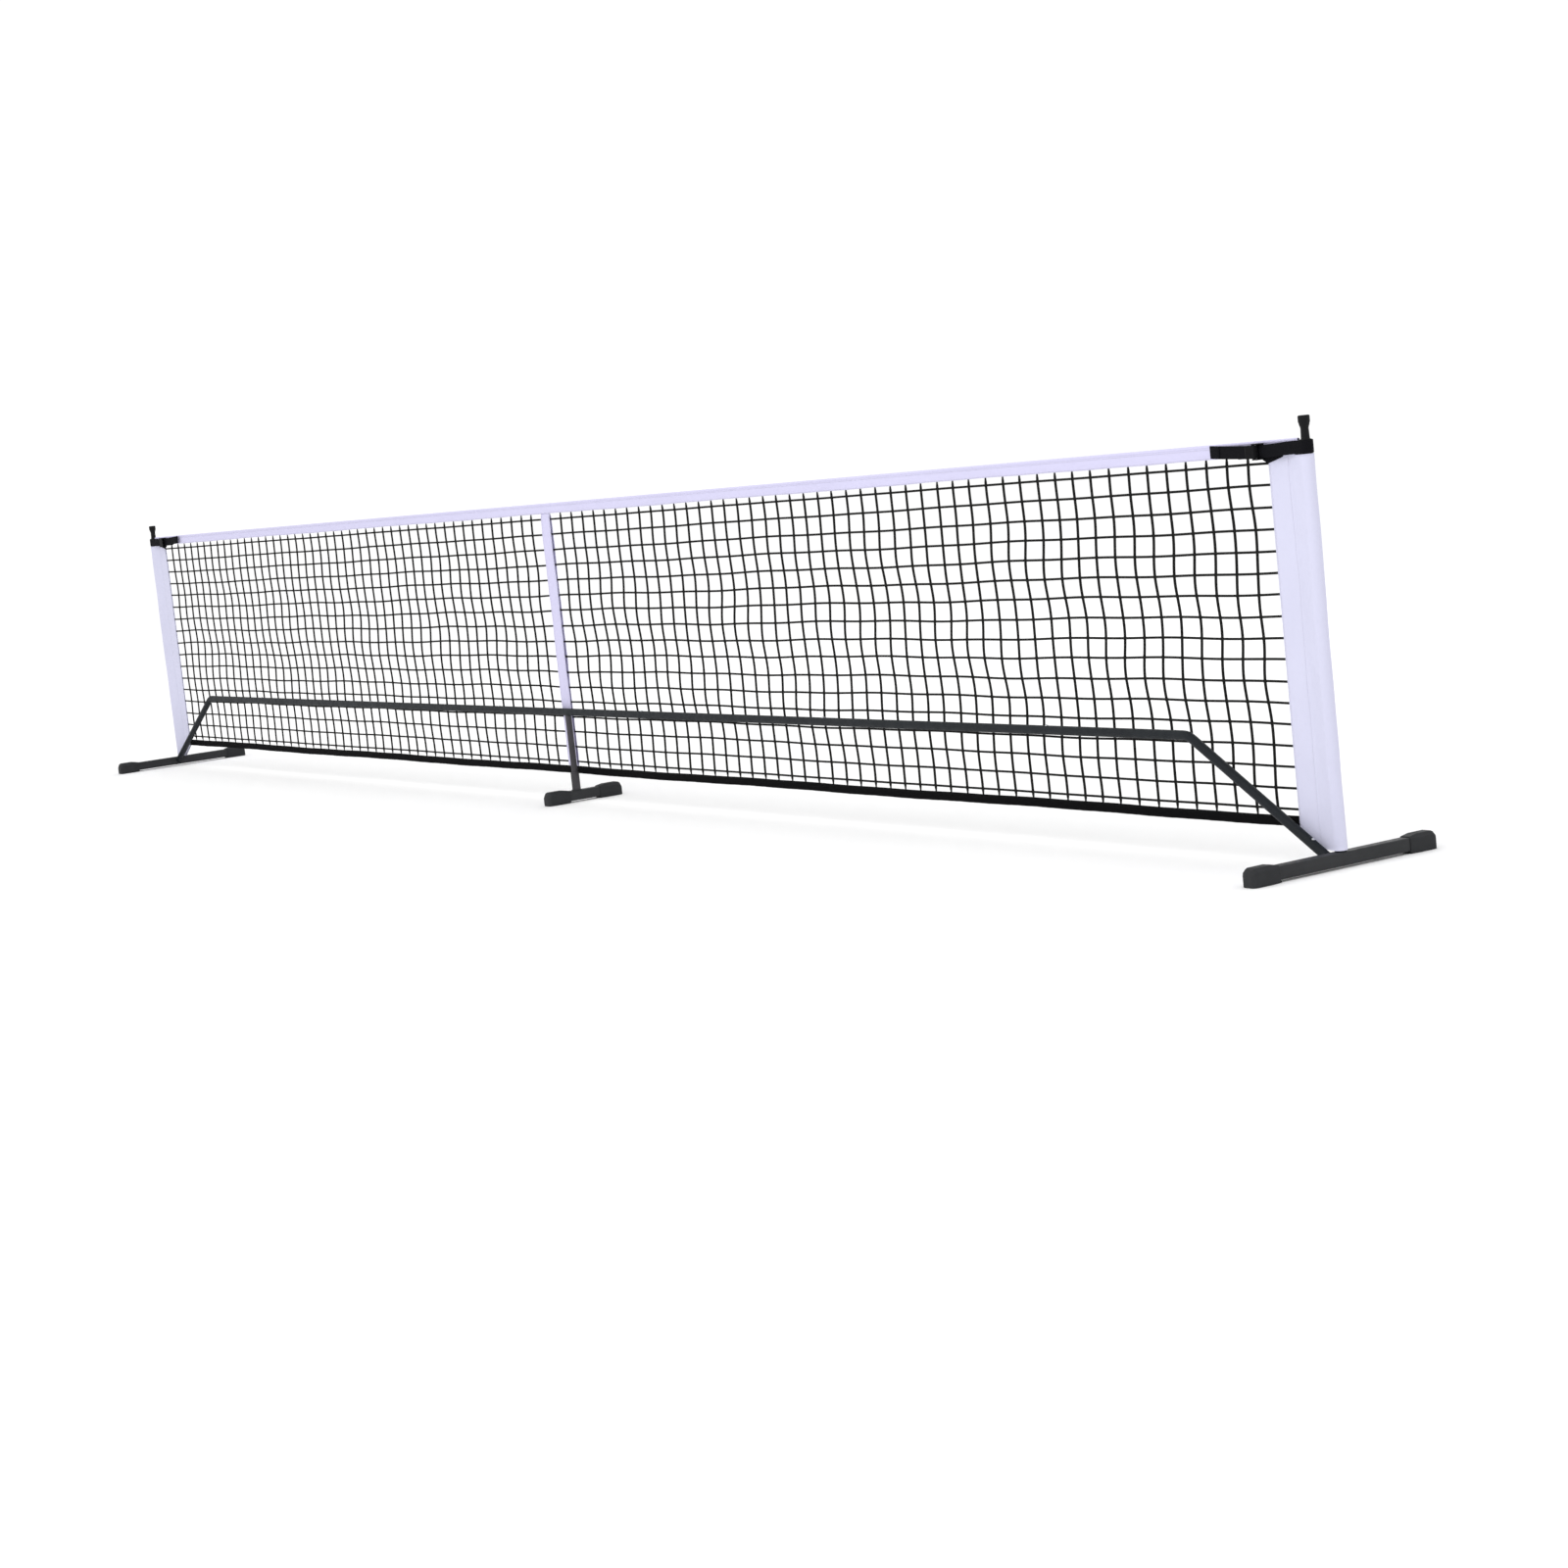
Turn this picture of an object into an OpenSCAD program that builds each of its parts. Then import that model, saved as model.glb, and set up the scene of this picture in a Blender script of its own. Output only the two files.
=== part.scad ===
// Portable pickleball net: a knock-down steel frame on three feet, a full-width net
// held between two lift-out posts, and a cam-buckle strap at each top corner.
// Millimetres. X runs along the net, Y across it, Z up. The origin is on the ground
// under the middle of the net.

/* [Net] */
// Distance between the axes of the two end posts
net_span = 6700; // [5200:10:7400]
// Height of the net's top edge above the ground
net_top = 914; // [840:1:1000]
// Height of the net's bottom edge above the ground
net_bottom = 82; // [64:1:120]
// Height of the white tape along the top edge
top_tape_h = 32; // [28:1:60]
// Height of the black tape along the bottom edge
bottom_tape_h = 23; // [16:1:36]
// Thickness of one layer of the vinyl tape
vinyl_t = 1.2; // [0.8:0.1:1.6]
// Diameter of the cord inside the top tape
top_cord_d = 5; // [3:0.5:6]
// Diameter of the cord inside the bottom tape
bottom_cord_d = 5; // [3:0.5:6]
// Distance from a post's axis to the inner edge of its sleeve
sleeve_w = 118; // [100:1:180]
// Distance from a post's axis to the seam that closes the post pocket
sleeve_seam = 52; // [40:1:80]
// Width of the white tape down the middle of the net
centre_tape_w = 55; // [40:1:90]
// Place of that tape's middle along the net, from the net's centre
centre_tape_x = -36; // [-60:1:60]
// Width of a strand of the netting
strand_w = 5; // [3:0.5:7]
// Thickness of a strand of the netting
strand_t = 4; // [2:0.5:5]
// Gaps across each half of the netting
mesh_columns = 21; // [10:1:21]
// Gaps from the top to the bottom of the netting
mesh_rows = 7; // [4:1:7]

/* [Tubes] */
// Outer diameter of the bar and brace tubes
bar_od = 22; // [22:0.5:28]
// Outer diameter of the middle leg
leg_od = 19; // [18:0.5:22]
// Wall of the bar, brace and leg tubes
bar_wall = 1.2; // [1:0.1:1.8]
// Height of the bar's axis above the ground
bar_height = 276; // [230:1:340]
// Gap between the bottom tape and the leg's socket in front of it
leg_clear = 3.7; // [3:0.1:8]
// Distance along the net from a post's axis to the bend in its brace
brace_reach = 440; // [380:1:560]
// Height at which a brace's axis meets its foot
brace_foot_z = 22; // [20:1:26]
// Radius of the bend in a brace, on the tube's axis
bend_r = 60; // [45:1:100]
// Length of the reduced end that plugs into the next tube
spigot_len = 60; // [56:1:80]
// Radial gap between a plugged end and the tube around it
fit_gap = 0.1; // [0.1:0.05:0.3]
// Gap between a brace's open end and its foot, along the tube
brace_gap = 9; // [9:0.5:16]

/* [Posts] */
// Distance from the net's top edge down to the top of a post's tube
post_drop = 44; // [44:1:60]
// Outer diameter of an end post
post_od = 25; // [22:0.5:27]
// Wall of an end post
post_wall = 1.5; // [1:0.1:2]
// Height of the stub that a post drops over
post_stub_h = 90; // [60:1:130]
// Radius of the collar on a post's cap
collar_r = 13.5; // [13.5:0.1:15]
// Height of the collar on a post's cap
collar_h = 40; // [40:1:50]
// Height of the peg above the collar
peg_h = 50; // [36:1:80]
// Radius of the peg's neck
peg_neck_r = 9.3; // [7:0.1:10]
// Radius of the peg's head
peg_head_r = 12.8; // [11:0.1:15]
// Depth of the cap's plug inside the post
plug_len = 30; // [20:1:45]

/* [Feet] */
// Length of an end foot over its shoes
foot_len = 530; // [440:2:640]
// Length of the middle foot over its shoes
centre_foot_len = 260; // [220:2:340]
// Side of the square foot tube
foot_side = 30; // [28:1:40]
// Wall of the foot tube
foot_wall = 1.5; // [1:0.1:2.5]
// Radius of the foot tube's corners
foot_corner_r = 4; // [3:0.5:6]
// Gap between the foot tube and the ground
foot_clear = 5; // [4:0.5:9]
// Height the shoe rises above the foot tube
shoe_over = 6; // [4:0.5:10]
// Length of a shoe
shoe_len = 78; // [60:1:100]
// Thickness of a shoe's closed end
shoe_end_t = 6; // [4:0.5:12]
// Bevel along a shoe's edges
shoe_bevel = 8; // [6:0.5:10]
// Length of the ramp from the foot tube up to a shoe's top
shoe_ramp = 22; // [10:1:30]

/* [Straps] */
// Width of the strap webbing
strap_w = 28; // [24:1:30]
// Thickness of the strap webbing
strap_t = 1.6; // [1.2:0.1:1.8]
// Distance from a post's axis to the pin of its cam buckle
buckle_at = 133; // [125:1:165]
// Length of strap left past the buckle's pin
tail_len = 156; // [80:1:240]
// Length of the buckle's frame
buckle_len = 34; // [30:1:44]
// Thickness of the buckle's cheeks
cheek_t = 3; // [2:0.1:4]
// Radius of the toothed cam about its pin
cam_r = 5; // [4.4:0.1:6]
// Diameter of the cam's pin
cam_pin_d = 3; // [2.5:0.1:3.5]

/* [Snap buttons] */
// Diameter of a snap button
button_d = 8; // [6:0.5:9]
// Height of a snap button above the tube around it
button_proud = 2.5; // [1.5:0.1:3.5]
// Width of the leaf spring under a snap button
leaf_w = 6; // [4:0.5:7]
// Thickness of the leaf spring under a snap button
leaf_t = 0.6; // [0.4:0.1:1]

/* [Hidden] */
$fn = 48;

eps = 0.01;
small_gap = 0.3;
cord_gap = 0.1;

// Colours
steel = [0.25, 0.26, 0.28];
shoe_black = [0.17, 0.17, 0.18];
plastic_black = [0.09, 0.09, 0.1];
webbing_black = [0.13, 0.13, 0.15];
zinc = [0.62, 0.63, 0.65];
spring_steel = [0.5, 0.51, 0.53];
vinyl_white = [0.88, 0.87, 0.96];
cord_white = [0.9, 0.9, 0.88];
net_black = [0.08, 0.08, 0.08];

// Inside of a tube, and outside and inside of the reduced end that plugs into it
function bore(od) = od - 2 * bar_wall;
function plug_od(od) = bore(od) - 2 * fit_gap;
function plug_id(od) = bore(plug_od(od));

// Frame, worked out from the sizes above
half = net_span / 2;
bar_r = bar_od / 2;
bar_id = bore(bar_od);
spigot_od = plug_od(bar_od);
spigot_id = plug_id(bar_od);
swage_len = 6;
foot_top = foot_clear + foot_side;
foot_face = half - foot_side / 2;
bend_x = half - brace_reach;
section_len = bend_x / 3;
button_back = spigot_len / 2;
brace_angle = atan2(bar_height - brace_foot_z, foot_face - bend_x);
brace_len = norm([foot_face - bend_x, bar_height - brace_foot_z]);
bend_run = bend_r * tan(brace_angle / 2);
bend_draw = 0.1; // how far a bent tube's wall draws in
bend_lap = 0.5; // degrees that the bend runs into the straights
brace_stub_len = 88;
tee_len = spigot_len + 4;
tee_bottom = bar_height - bar_r - tee_len;
leg_socket_len = 55;
leg_socket_wall = 3.4;
leg_rest = 2; // gap under the leg's foot end
leg_socket_r = leg_od / 2 + fit_gap + leg_socket_wall;
bottom_tape_r = bottom_cord_d / 2 + cord_gap + vinyl_t;
bar_offset = bottom_tape_r + leg_clear + leg_socket_r;

// Posts
post_r = post_od / 2;
post_id = post_od - 2 * post_wall;
post_stub_od = post_id - 2 * fit_gap;
post_top = net_top - post_drop;
post_bottom = foot_top + small_gap;

// Net
mesh_low = net_bottom + bottom_tape_h;
strap_low = post_top + 8;
mesh_high = net_top - top_tape_h;
sleeve_edge = half - sleeve_w;
pocket_r = max(post_r, collar_r) + small_gap;
sleeve_low = foot_top + 3;
sleeve_high = strap_low - 1.5;
flange_high = mesh_high - 1;
tape_end = half - collar_r - 8;
top_tape_r = top_cord_d / 2 + cord_gap + vinyl_t;
cord_setback = 12;

// Straps and buckles, at one post: x is measured from the post's axis
strap_in_r = collar_r + 0.7;
strap_out_r = strap_in_r + strap_t;
strap_mid = strap_low + strap_w / 2;
sewn_gap = 0.2;
sewn_start = 95;
sewn_len = 40;
plate_t = 1.6;
plate_y = -strap_in_r + 0.2;
cam_y = -strap_out_r - small_gap - cam_r;
cheek_in = strap_w / 2 + 0.5;
cheek_out = cheek_in + cheek_t;
cheek_front = cam_y - 5;
cheek_back = -6.5;
anchor_bar_r = 2;
anchor_bar_x = buckle_at + buckle_len / 2 - 1;
anchor_bar_y = cheek_back - anchor_bar_r - 1.6;
anchor_len = 62;
lever_half = strap_w / 2;
spring_half = 4;
patch_drop = 13; // how far the corner patch's tip hangs below the strap

// Snap buttons
button_gap = 0.1;
leaf_len = 28;
flange_t = 1;
flange_over = 1.2;

// Flat shapes

module rounded_square(side, r) {
    square([side - 2 * r, side], center = true);
    square([side, side - 2 * r], center = true);
    for (sx = [-1, 1], sy = [-1, 1])
        translate([sx * (side / 2 - r), sy * (side / 2 - r)]) circle(r);
}

// The outline of a circle of radius r drawn out to a point at distance d along -X
function teardrop(r, d) =
    let (touch = 180 - acos(r / d), steps = 32)
    concat([[-d, 0]], [for (i = [0:steps]) let (a = touch * (2 * i / steps - 1)) [r * cos(a), r * sin(a)]]);

// Placing

// Turns +Z to +X, with -X turned up to +Z
module along_x(x = 0, y = 0, z = 0) {
    translate([x, y, z]) rotate([0, 90, 0]) children();
}

// The axis of the right brace's slope, a distance on from the corner of its axis
module along_brace(distance) {
    translate([bend_x, -bar_offset, bar_height])
        rotate([0, 90 + brace_angle, 0])
            translate([0, 0, distance])
                children();
}

module on_left() {
    mirror([1, 0, 0]) children();
}

module at_post() {
    translate([half, 0, 0]) children();
}

// Turns a flat shape drawn in X and Z into a slab about the net's plane
module slab_in_net(thickness) {
    rotate([90, 0, 0]) linear_extrude(thickness, center = true) children();
}

// Turns a flat shape drawn in Y and Z into a run along X
module run_along_net(x0, x1) {
    translate([x0, 0, 0]) rotate([90, 0, 90]) linear_extrude(x1 - x0) children();
}

// Tubes

module hollow(od, id, len) {
    difference() {
        cylinder(d = od, h = len);
        translate([0, 0, -1]) cylinder(d = id, h = len + 2);
    }
}

// A hole through one wall of a tube along Z, on its -X side, that a snap button fits
module button_hole(reach) {
    rotate([0, -90, 0]) cylinder(d = button_d + 2 * button_gap, h = reach);
}

// A tube's reduced end along Z: its tip at 0, its shoulder at spigot_len
module spigot(od) {
    difference() {
        cylinder(d = plug_od(od), h = spigot_len + eps);
        translate([0, 0, -1]) cylinder(d = plug_id(od), h = spigot_len + 2);
        translate([0, 0, spigot_len - button_back]) button_hole(od);
    }
}

// A straight tube along Z from its shoulder at 0, with its reduced end below it
module plugged_tube(od, len) {
    translate([0, 0, -spigot_len]) spigot(od);
    difference() {
        cylinder(d = od, h = len);
        translate([0, 0, -1]) cylinder(d = plug_id(od), h = swage_len + 1);
        translate([0, 0, swage_len]) cylinder(d = bore(od), h = len);
    }
}

module bar_section(first_x) {
    color(steel) difference() {
        along_x(first_x, -bar_offset, bar_height) plugged_tube(bar_od, section_len);
        along_x(first_x + section_len - button_back, -bar_offset, bar_height) button_hole(bar_od);
    }
}

module bar_centre() {
    color(steel) difference() {
        along_x(-section_len / 2, -bar_offset, bar_height) hollow(bar_od, bar_id, section_len);
        for (side = [-1, 1])
            along_x(side * (section_len / 2 - button_back), -bar_offset, bar_height) button_hole(bar_od);
    }
}

// Right brace: an arm along the bar, a bend, and a slope down to the foot
module brace() {
    arm_len = bend_x - bend_run - 2.5 * section_len;
    slope_len = brace_len - brace_gap - bend_run;
    color(steel) translate([bend_x - bend_run, -bar_offset, bar_height]) {
        along_x(-arm_len) plugged_tube(bar_od, arm_len);
        translate([0, 0, -bend_r]) {
            rotate([90, brace_angle + bend_lap - 90, 0]) rotate_extrude(angle = brace_angle + 2 * bend_lap, $fn = 96)
                translate([bend_r, 0]) difference() {
                    circle(d = bar_od - 2 * bend_draw);
                    circle(d = bar_id - 2 * bend_draw);
                }
            rotate([0, brace_angle, 0]) along_x(0, 0, bend_r) difference() {
                hollow(bar_od, bar_id, slope_len);
                translate([0, 0, slope_len - brace_stub_len + brace_gap + button_back]) button_hole(bar_od);
            }
        }
    }
}

// The short tube on the right foot that the brace slides over, trimmed to the foot's side
module brace_stub() {
    color(steel) difference() {
        along_brace(brace_len - brace_stub_len) difference() {
            cylinder(d = spigot_od, h = brace_stub_len + bar_od);
            translate([0, 0, -1]) cylinder(d = spigot_id, h = brace_stub_len + bar_od + 2);
            translate([0, 0, button_back]) button_hole(bar_od);
        }
        translate([foot_face, -bar_offset - bar_od, brace_foot_z - bar_od * 2]) cube([bar_od * 4, bar_od * 2, bar_od * 4]);
    }
}

// The short tube under the bar that the leg plugs into, cut to saddle the bar
module tee_stub() {
    color(steel) translate([0, -bar_offset, 0]) difference() {
        translate([0, 0, tee_bottom]) hollow(leg_od, bore(leg_od), tee_len + bar_r);
        along_x(-bar_od, 0, bar_height) cylinder(d = bar_od, h = 2 * bar_od);
        translate([0, 0, tee_bottom + button_back]) button_hole(leg_od);
    }
}

module centre_leg() {
    color(steel) translate([0, -bar_offset, 0]) difference() {
        translate([0, 0, tee_bottom]) rotate([180, 0, 0]) plugged_tube(leg_od, tee_bottom - foot_top - leg_rest);
        translate([0, 0, foot_top + button_back]) button_hole(leg_od);
    }
}

module leg_socket() {
    color(steel) translate([0, -bar_offset, foot_top]) difference() {
        hollow(2 * leg_socket_r, leg_od + 2 * fit_gap, leg_socket_len);
        translate([0, 0, button_back]) button_hole(2 * leg_od);
    }
}

// Feet

module foot_tube(len) {
    color(steel) translate([0, 0, foot_clear + foot_side / 2]) rotate([90, 0, 0])
        linear_extrude(len - 2 * shoe_end_t, center = true) difference() {
            rounded_square(foot_side, foot_corner_r);
            rounded_square(foot_side - 2 * foot_wall, foot_corner_r - foot_wall);
        }
}

// A shoe on the +Y end of a foot of a given length: bevelled outside, hollow for the tube
module shoe(len) {
    w = foot_side + 2 * shoe_over;
    h = foot_top + shoe_over;
    end = len / 2;
    start = end - shoe_len;
    b = shoe_bevel;
    difference() {
        intersection() {
            rotate([90, 0, 90]) linear_extrude(w, center = true)
                polygon([[start, 0], [end - b / 3, 0], [end, b / 3], [end, h - 1.6 * b], [end - 1.6 * b, h], [start + shoe_ramp, h], [start, foot_top + 2]]);
            linear_extrude(h) polygon([
                [-foot_side / 2 - 2, start], [foot_side / 2 + 2, start], [w / 2, start + shoe_ramp], [w / 2, end - b],
                [w / 2 - b, end], [b - w / 2, end], [-w / 2, end - b], [-w / 2, start + shoe_ramp]
            ]);
            translate([0, end + 1, 0]) rotate([90, 0, 0]) linear_extrude(shoe_len + 2)
                polygon([[-w / 2, 0], [w / 2, 0], [w / 2, h - b], [w / 2 - b, h], [b - w / 2, h], [-w / 2, h - b]]);
        }
        translate([0, end - shoe_end_t, foot_clear + foot_side / 2]) rotate([90, 0, 0])
            linear_extrude(shoe_len) rounded_square(foot_side, foot_corner_r);
    }
}

module shoe_pair(len) {
    color(shoe_black) {
        shoe(len);
        mirror([0, 1, 0]) shoe(len);
    }
}

module post_stub() {
    color(steel) translate([0, 0, foot_top]) hollow(post_stub_od, post_stub_od - 2 * post_wall, post_stub_h);
}

// Posts

module post() {
    color(steel) translate([0, 0, post_bottom]) hollow(post_od, post_id, post_top - post_bottom);
}

// The plug, collar and peg, turned about the post's axis
module post_cap() {
    c = 2;
    plug_r = post_id / 2 - fit_gap;
    top = collar_h + peg_h;
    flare = collar_h + peg_h * 0.48;
    head = collar_h + peg_h * 0.68;
    color(plastic_black) translate([0, 0, post_top]) rotate_extrude() polygon([
        [0, -plug_len], [plug_r - c, -plug_len], [plug_r, -plug_len + c], [plug_r, 0],
        [collar_r, 0], [collar_r, collar_h - c], [collar_r - c, collar_h], [peg_neck_r + c / 2, collar_h],
        [peg_neck_r, collar_h + c / 2], [peg_neck_r - c / 4, flare], [peg_head_r - c / 2, head],
        [peg_head_r, head + c], [peg_head_r, top - c], [peg_head_r - c, top], [0, top]
    ]);
}

// Snap buttons, on a tube along Z with the button on its -X side

// Distance from the tube's axis to the top of the button's flange, clear of the bore
function flange_top(bore_r) = sqrt(pow(bore_r, 2) - pow(button_d / 2 + flange_over, 2)) - 0.15;

module snap_button(shell_r, bore_r) {
    top = shell_r + button_proud;
    low = flange_top(bore_r) - flange_t;
    dome_r = button_d * 0.72;
    color(zinc) rotate([0, -90, 0]) {
        intersection() {
            translate([0, 0, low]) cylinder(d = button_d, h = top - low);
            union() {
                translate([0, 0, top - dome_r]) sphere(dome_r);
                translate([0, 0, low]) cylinder(d = button_d, h = top - low - dome_r * 0.7);
            }
        }
        translate([0, 0, low]) cylinder(r = button_d / 2 + flange_over, h = flange_t);
        translate([-button_d / 2, -leaf_w / 2, low - leaf_t]) cube([leaf_len + button_d / 2, leaf_w, leaf_t + eps]);
    }
}

// The fixed half of the leaf spring: its round bend and the arm along the far wall
module leaf_spring(bore_r) {
    high = flange_top(bore_r) - flange_t;
    low = -sqrt(pow(bore_r, 2) - pow(leaf_w / 2, 2)) + 0.05;
    r = (high - low) / 2;
    color(spring_steel) rotate([0, -90, 0]) {
        translate([0, -leaf_w / 2, low]) cube([leaf_len + small_gap + eps, leaf_w, leaf_t]);
        translate([leaf_len + small_gap, 0, low + r]) rotate([90, 0, 0])
            rotate([0, 0, -90]) rotate_extrude(angle = 180) translate([r - leaf_t, -leaf_w / 2]) square([leaf_t, leaf_w]);
    }
}

// Where each joint's button sits on the right half of the frame
module at_bar_button(joint) {
    along_x((joint + 0.5) * section_len - button_back, -bar_offset, bar_height) children();
}

module at_brace_button() {
    along_brace(brace_len - brace_stub_len + button_back) children();
}

module at_leg_top_button() {
    translate([0, -bar_offset, tee_bottom + button_back]) rotate([180, 0, 0]) children();
}

module at_leg_foot_button() {
    translate([0, -bar_offset, foot_top + button_back]) children();
}

module button_springs() {
    for (side = [0, 1]) mirror([side, 0, 0]) {
        for (joint = [0:2]) at_bar_button(joint) leaf_spring(spigot_id / 2);
        at_brace_button() leaf_spring(spigot_id / 2);
    }
    at_leg_top_button() leaf_spring(plug_id(leg_od) / 2);
    at_leg_foot_button() leaf_spring(bore(leg_od) / 2);
}

// Net

// Where the netting runs on each side of the middle tape
mesh_spans = [
    [-sleeve_edge, centre_tape_x - centre_tape_w / 2],
    [centre_tape_x + centre_tape_w / 2, sleeve_edge]
];

// Strands of one half of the netting, face to face with the tapes and sleeve around it
module half_mesh(x0, x1) {
    pitch_x = (x1 - x0) / mesh_columns;
    pitch_z = (mesh_high - mesh_low) / mesh_rows;
    for (i = [1:mesh_columns - 1])
        translate([x0 + i * pitch_x - strand_w / 2, mesh_low]) square([strand_w, mesh_high - mesh_low]);
    for (j = [1:mesh_rows - 1])
        translate([x0, mesh_low + j * pitch_z - strand_w / 2]) square([x1 - x0, strand_w]);
}

module net_mesh() {
    color(net_black) slab_in_net(strand_t) for (span = mesh_spans) half_mesh(span[0], span[1]);
}

// A folded tape along the net: two layers flat together, closed round a cord at one edge
module corded_tape(x0, x1, flat_edge, round_edge, r, cord_r) {
    up = sign(round_edge - flat_edge);
    run_along_net(x0, x1) difference() {
        union() {
            translate([0, round_edge - up * r]) circle(r);
            translate([-vinyl_t, min(flat_edge, round_edge - up * r)]) square([2 * vinyl_t, abs(round_edge - flat_edge) - r]);
        }
        translate([0, round_edge - up * r]) circle(cord_r);
    }
}

module top_tape() {
    color(vinyl_white) corded_tape(-tape_end, tape_end, mesh_high, net_top, top_tape_r, top_tape_r - vinyl_t);
}

module top_cord() {
    color(cord_white) along_x(-tape_end + cord_setback, 0, net_top - top_tape_r)
        cylinder(d = top_cord_d, h = 2 * (tape_end - cord_setback));
}

module bottom_tape() {
    color(net_black) corded_tape(-sleeve_edge, sleeve_edge, mesh_low, net_bottom, bottom_tape_r, bottom_tape_r - vinyl_t);
}

module bottom_cord() {
    color(cord_white) along_x(-sleeve_edge + cord_setback, 0, net_bottom + bottom_tape_r)
        cylinder(d = bottom_cord_d, h = 2 * (sleeve_edge - cord_setback));
}

// A sleeve round the right post, drawn together at its seam and flat to its inner edge.
// Its pocket stops under the strap, and the flat part reaches up to the top tape.
module side_sleeve() {
    out_r = pocket_r + vinyl_t;
    step_x = sleeve_seam * out_r / pocket_r + 4;
    high = max(sleeve_high, flange_high);
    color(vinyl_white) intersection() {
        linear_extrude(high + 1) difference() {
            union() {
                polygon(teardrop(out_r, sleeve_seam * out_r / pocket_r));
                translate([-sleeve_w, -vinyl_t]) square([sleeve_w - sleeve_seam + 3, 2 * vinyl_t]);
            }
            polygon(teardrop(pocket_r, sleeve_seam));
        }
        slab_in_net(3 * out_r) polygon([
            [-sleeve_w, net_bottom], [-sleeve_seam, sleeve_low], [out_r + 1, sleeve_low], [out_r + 1, sleeve_high],
            [-step_x, sleeve_high], [-step_x, flange_high], [-sleeve_w, flange_high]
        ]);
    }
}

// The upright tape in the middle, one layer on each face of the net
module centre_tape() {
    color(vinyl_white) translate([centre_tape_x, 0, mesh_low]) linear_extrude(mesh_high - mesh_low)
        square([centre_tape_w, 2 * vinyl_t], center = true);
}

// Corner straps, drawn about the right post's axis with the net on the -X side

// Points on a half circle round +X, from the angle first to the opposite one
function half_circle(r, first) =
    let (steps = 24)
    [for (i = [0:steps]) let (a = first * (1 - 2 * i / steps)) [r * cos(a), r * sin(a)]];

// From the sewn end on the back of the tape, round the collar, along the front and through the buckle
module strap() {
    back = vinyl_t + sewn_gap;
    tail_end = -buckle_at - tail_len;
    sewn_end = -sewn_start - sewn_len;
    color(webbing_black) translate([0, 0, strap_low]) linear_extrude(strap_w) polygon(concat(
        [[tail_end, -strap_out_r]], half_circle(strap_out_r, -90),
        [[-sewn_start, back + strap_t], [sewn_end, back + strap_t], [sewn_end, back], [-sewn_start, back]],
        half_circle(strap_in_r, 90), [[tail_end, -strap_in_r]]
    ));
}

// Short webbing from the buckle's back bar to the front of the top tape
module anchor_strap() {
    front = -vinyl_t - sewn_gap;
    out_r = anchor_bar_r + 0.15 + strap_t;
    color(webbing_black) translate([0, 0, strap_low]) linear_extrude(strap_w) difference() {
        union() {
            translate([-anchor_bar_x, anchor_bar_y]) circle(out_r);
            polygon([
                [-anchor_bar_x - 1, anchor_bar_y - out_r + 0.2], [-anchor_bar_x - out_r + 0.1, anchor_bar_y + out_r / 2],
                [-anchor_bar_x - 12, front], [-anchor_bar_x - 15, front - strap_t], [-anchor_bar_x - out_r - 2, anchor_bar_y - out_r / 2]
            ]);
            translate([-anchor_bar_x - anchor_len, front - strap_t]) square([anchor_len - 12, strap_t]);
        }
        translate([-anchor_bar_x, anchor_bar_y]) circle(anchor_bar_r + 0.15);
    }
}

// Reinforcing patch over the corner where the tape, sleeve and netting meet
module corner_patch() {
    high = strap_low + strap_w * 0.7;
    front = max(strand_t / 2, vinyl_t) + sewn_gap;
    color(webbing_black) translate([0, -front, 0]) rotate([90, 0, 0]) linear_extrude(strap_t / 2)
        polygon([
            [-sleeve_seam - 18, strap_low - 1], [-sleeve_seam - 18, high], [-sleeve_w - 16, high],
            [-sleeve_w - 16, strap_low - 5], [-sleeve_w, strap_low - patch_drop]
        ]);
}

// Frame of the cam buckle: a plate behind the strap, two cheeks and the bar for the anchor webbing
module buckle_frame() {
    back_x = buckle_at - buckle_len / 2;
    front_x = buckle_at + buckle_len / 2 + 2;
    color(plastic_black) translate([0, 0, strap_mid]) difference() {
        union() {
            translate([-front_x + 8, plate_y, -cheek_out]) cube([front_x - back_x - 8, plate_t, 2 * cheek_out]);
            for (side = [-1, 1]) translate([0, 0, side * (cheek_in + cheek_out) / 2])
                linear_extrude(cheek_t, center = true) polygon([
                    [-back_x, plate_y + plate_t], [-back_x, plate_y - 2], [-back_x - 6, cheek_front], [-buckle_at - 7, cheek_front],
                    [-front_x, plate_y - 3], [-front_x, cheek_back], [-anchor_bar_x + 5, cheek_back]
                ]);
            translate([-anchor_bar_x, anchor_bar_y, -cheek_in - eps]) cylinder(r = anchor_bar_r, h = 2 * cheek_in + 2 * eps);
        }
        translate([-buckle_at, cam_y, -cheek_out - 1]) cylinder(d = cam_pin_d + 0.1, h = 2 * cheek_out + 2);
    }
}

module cam_pin() {
    color(zinc) translate([-buckle_at, cam_y, strap_mid - cheek_out - 0.6]) cylinder(d = cam_pin_d, h = 2 * cheek_out + 1.2);
}

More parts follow.
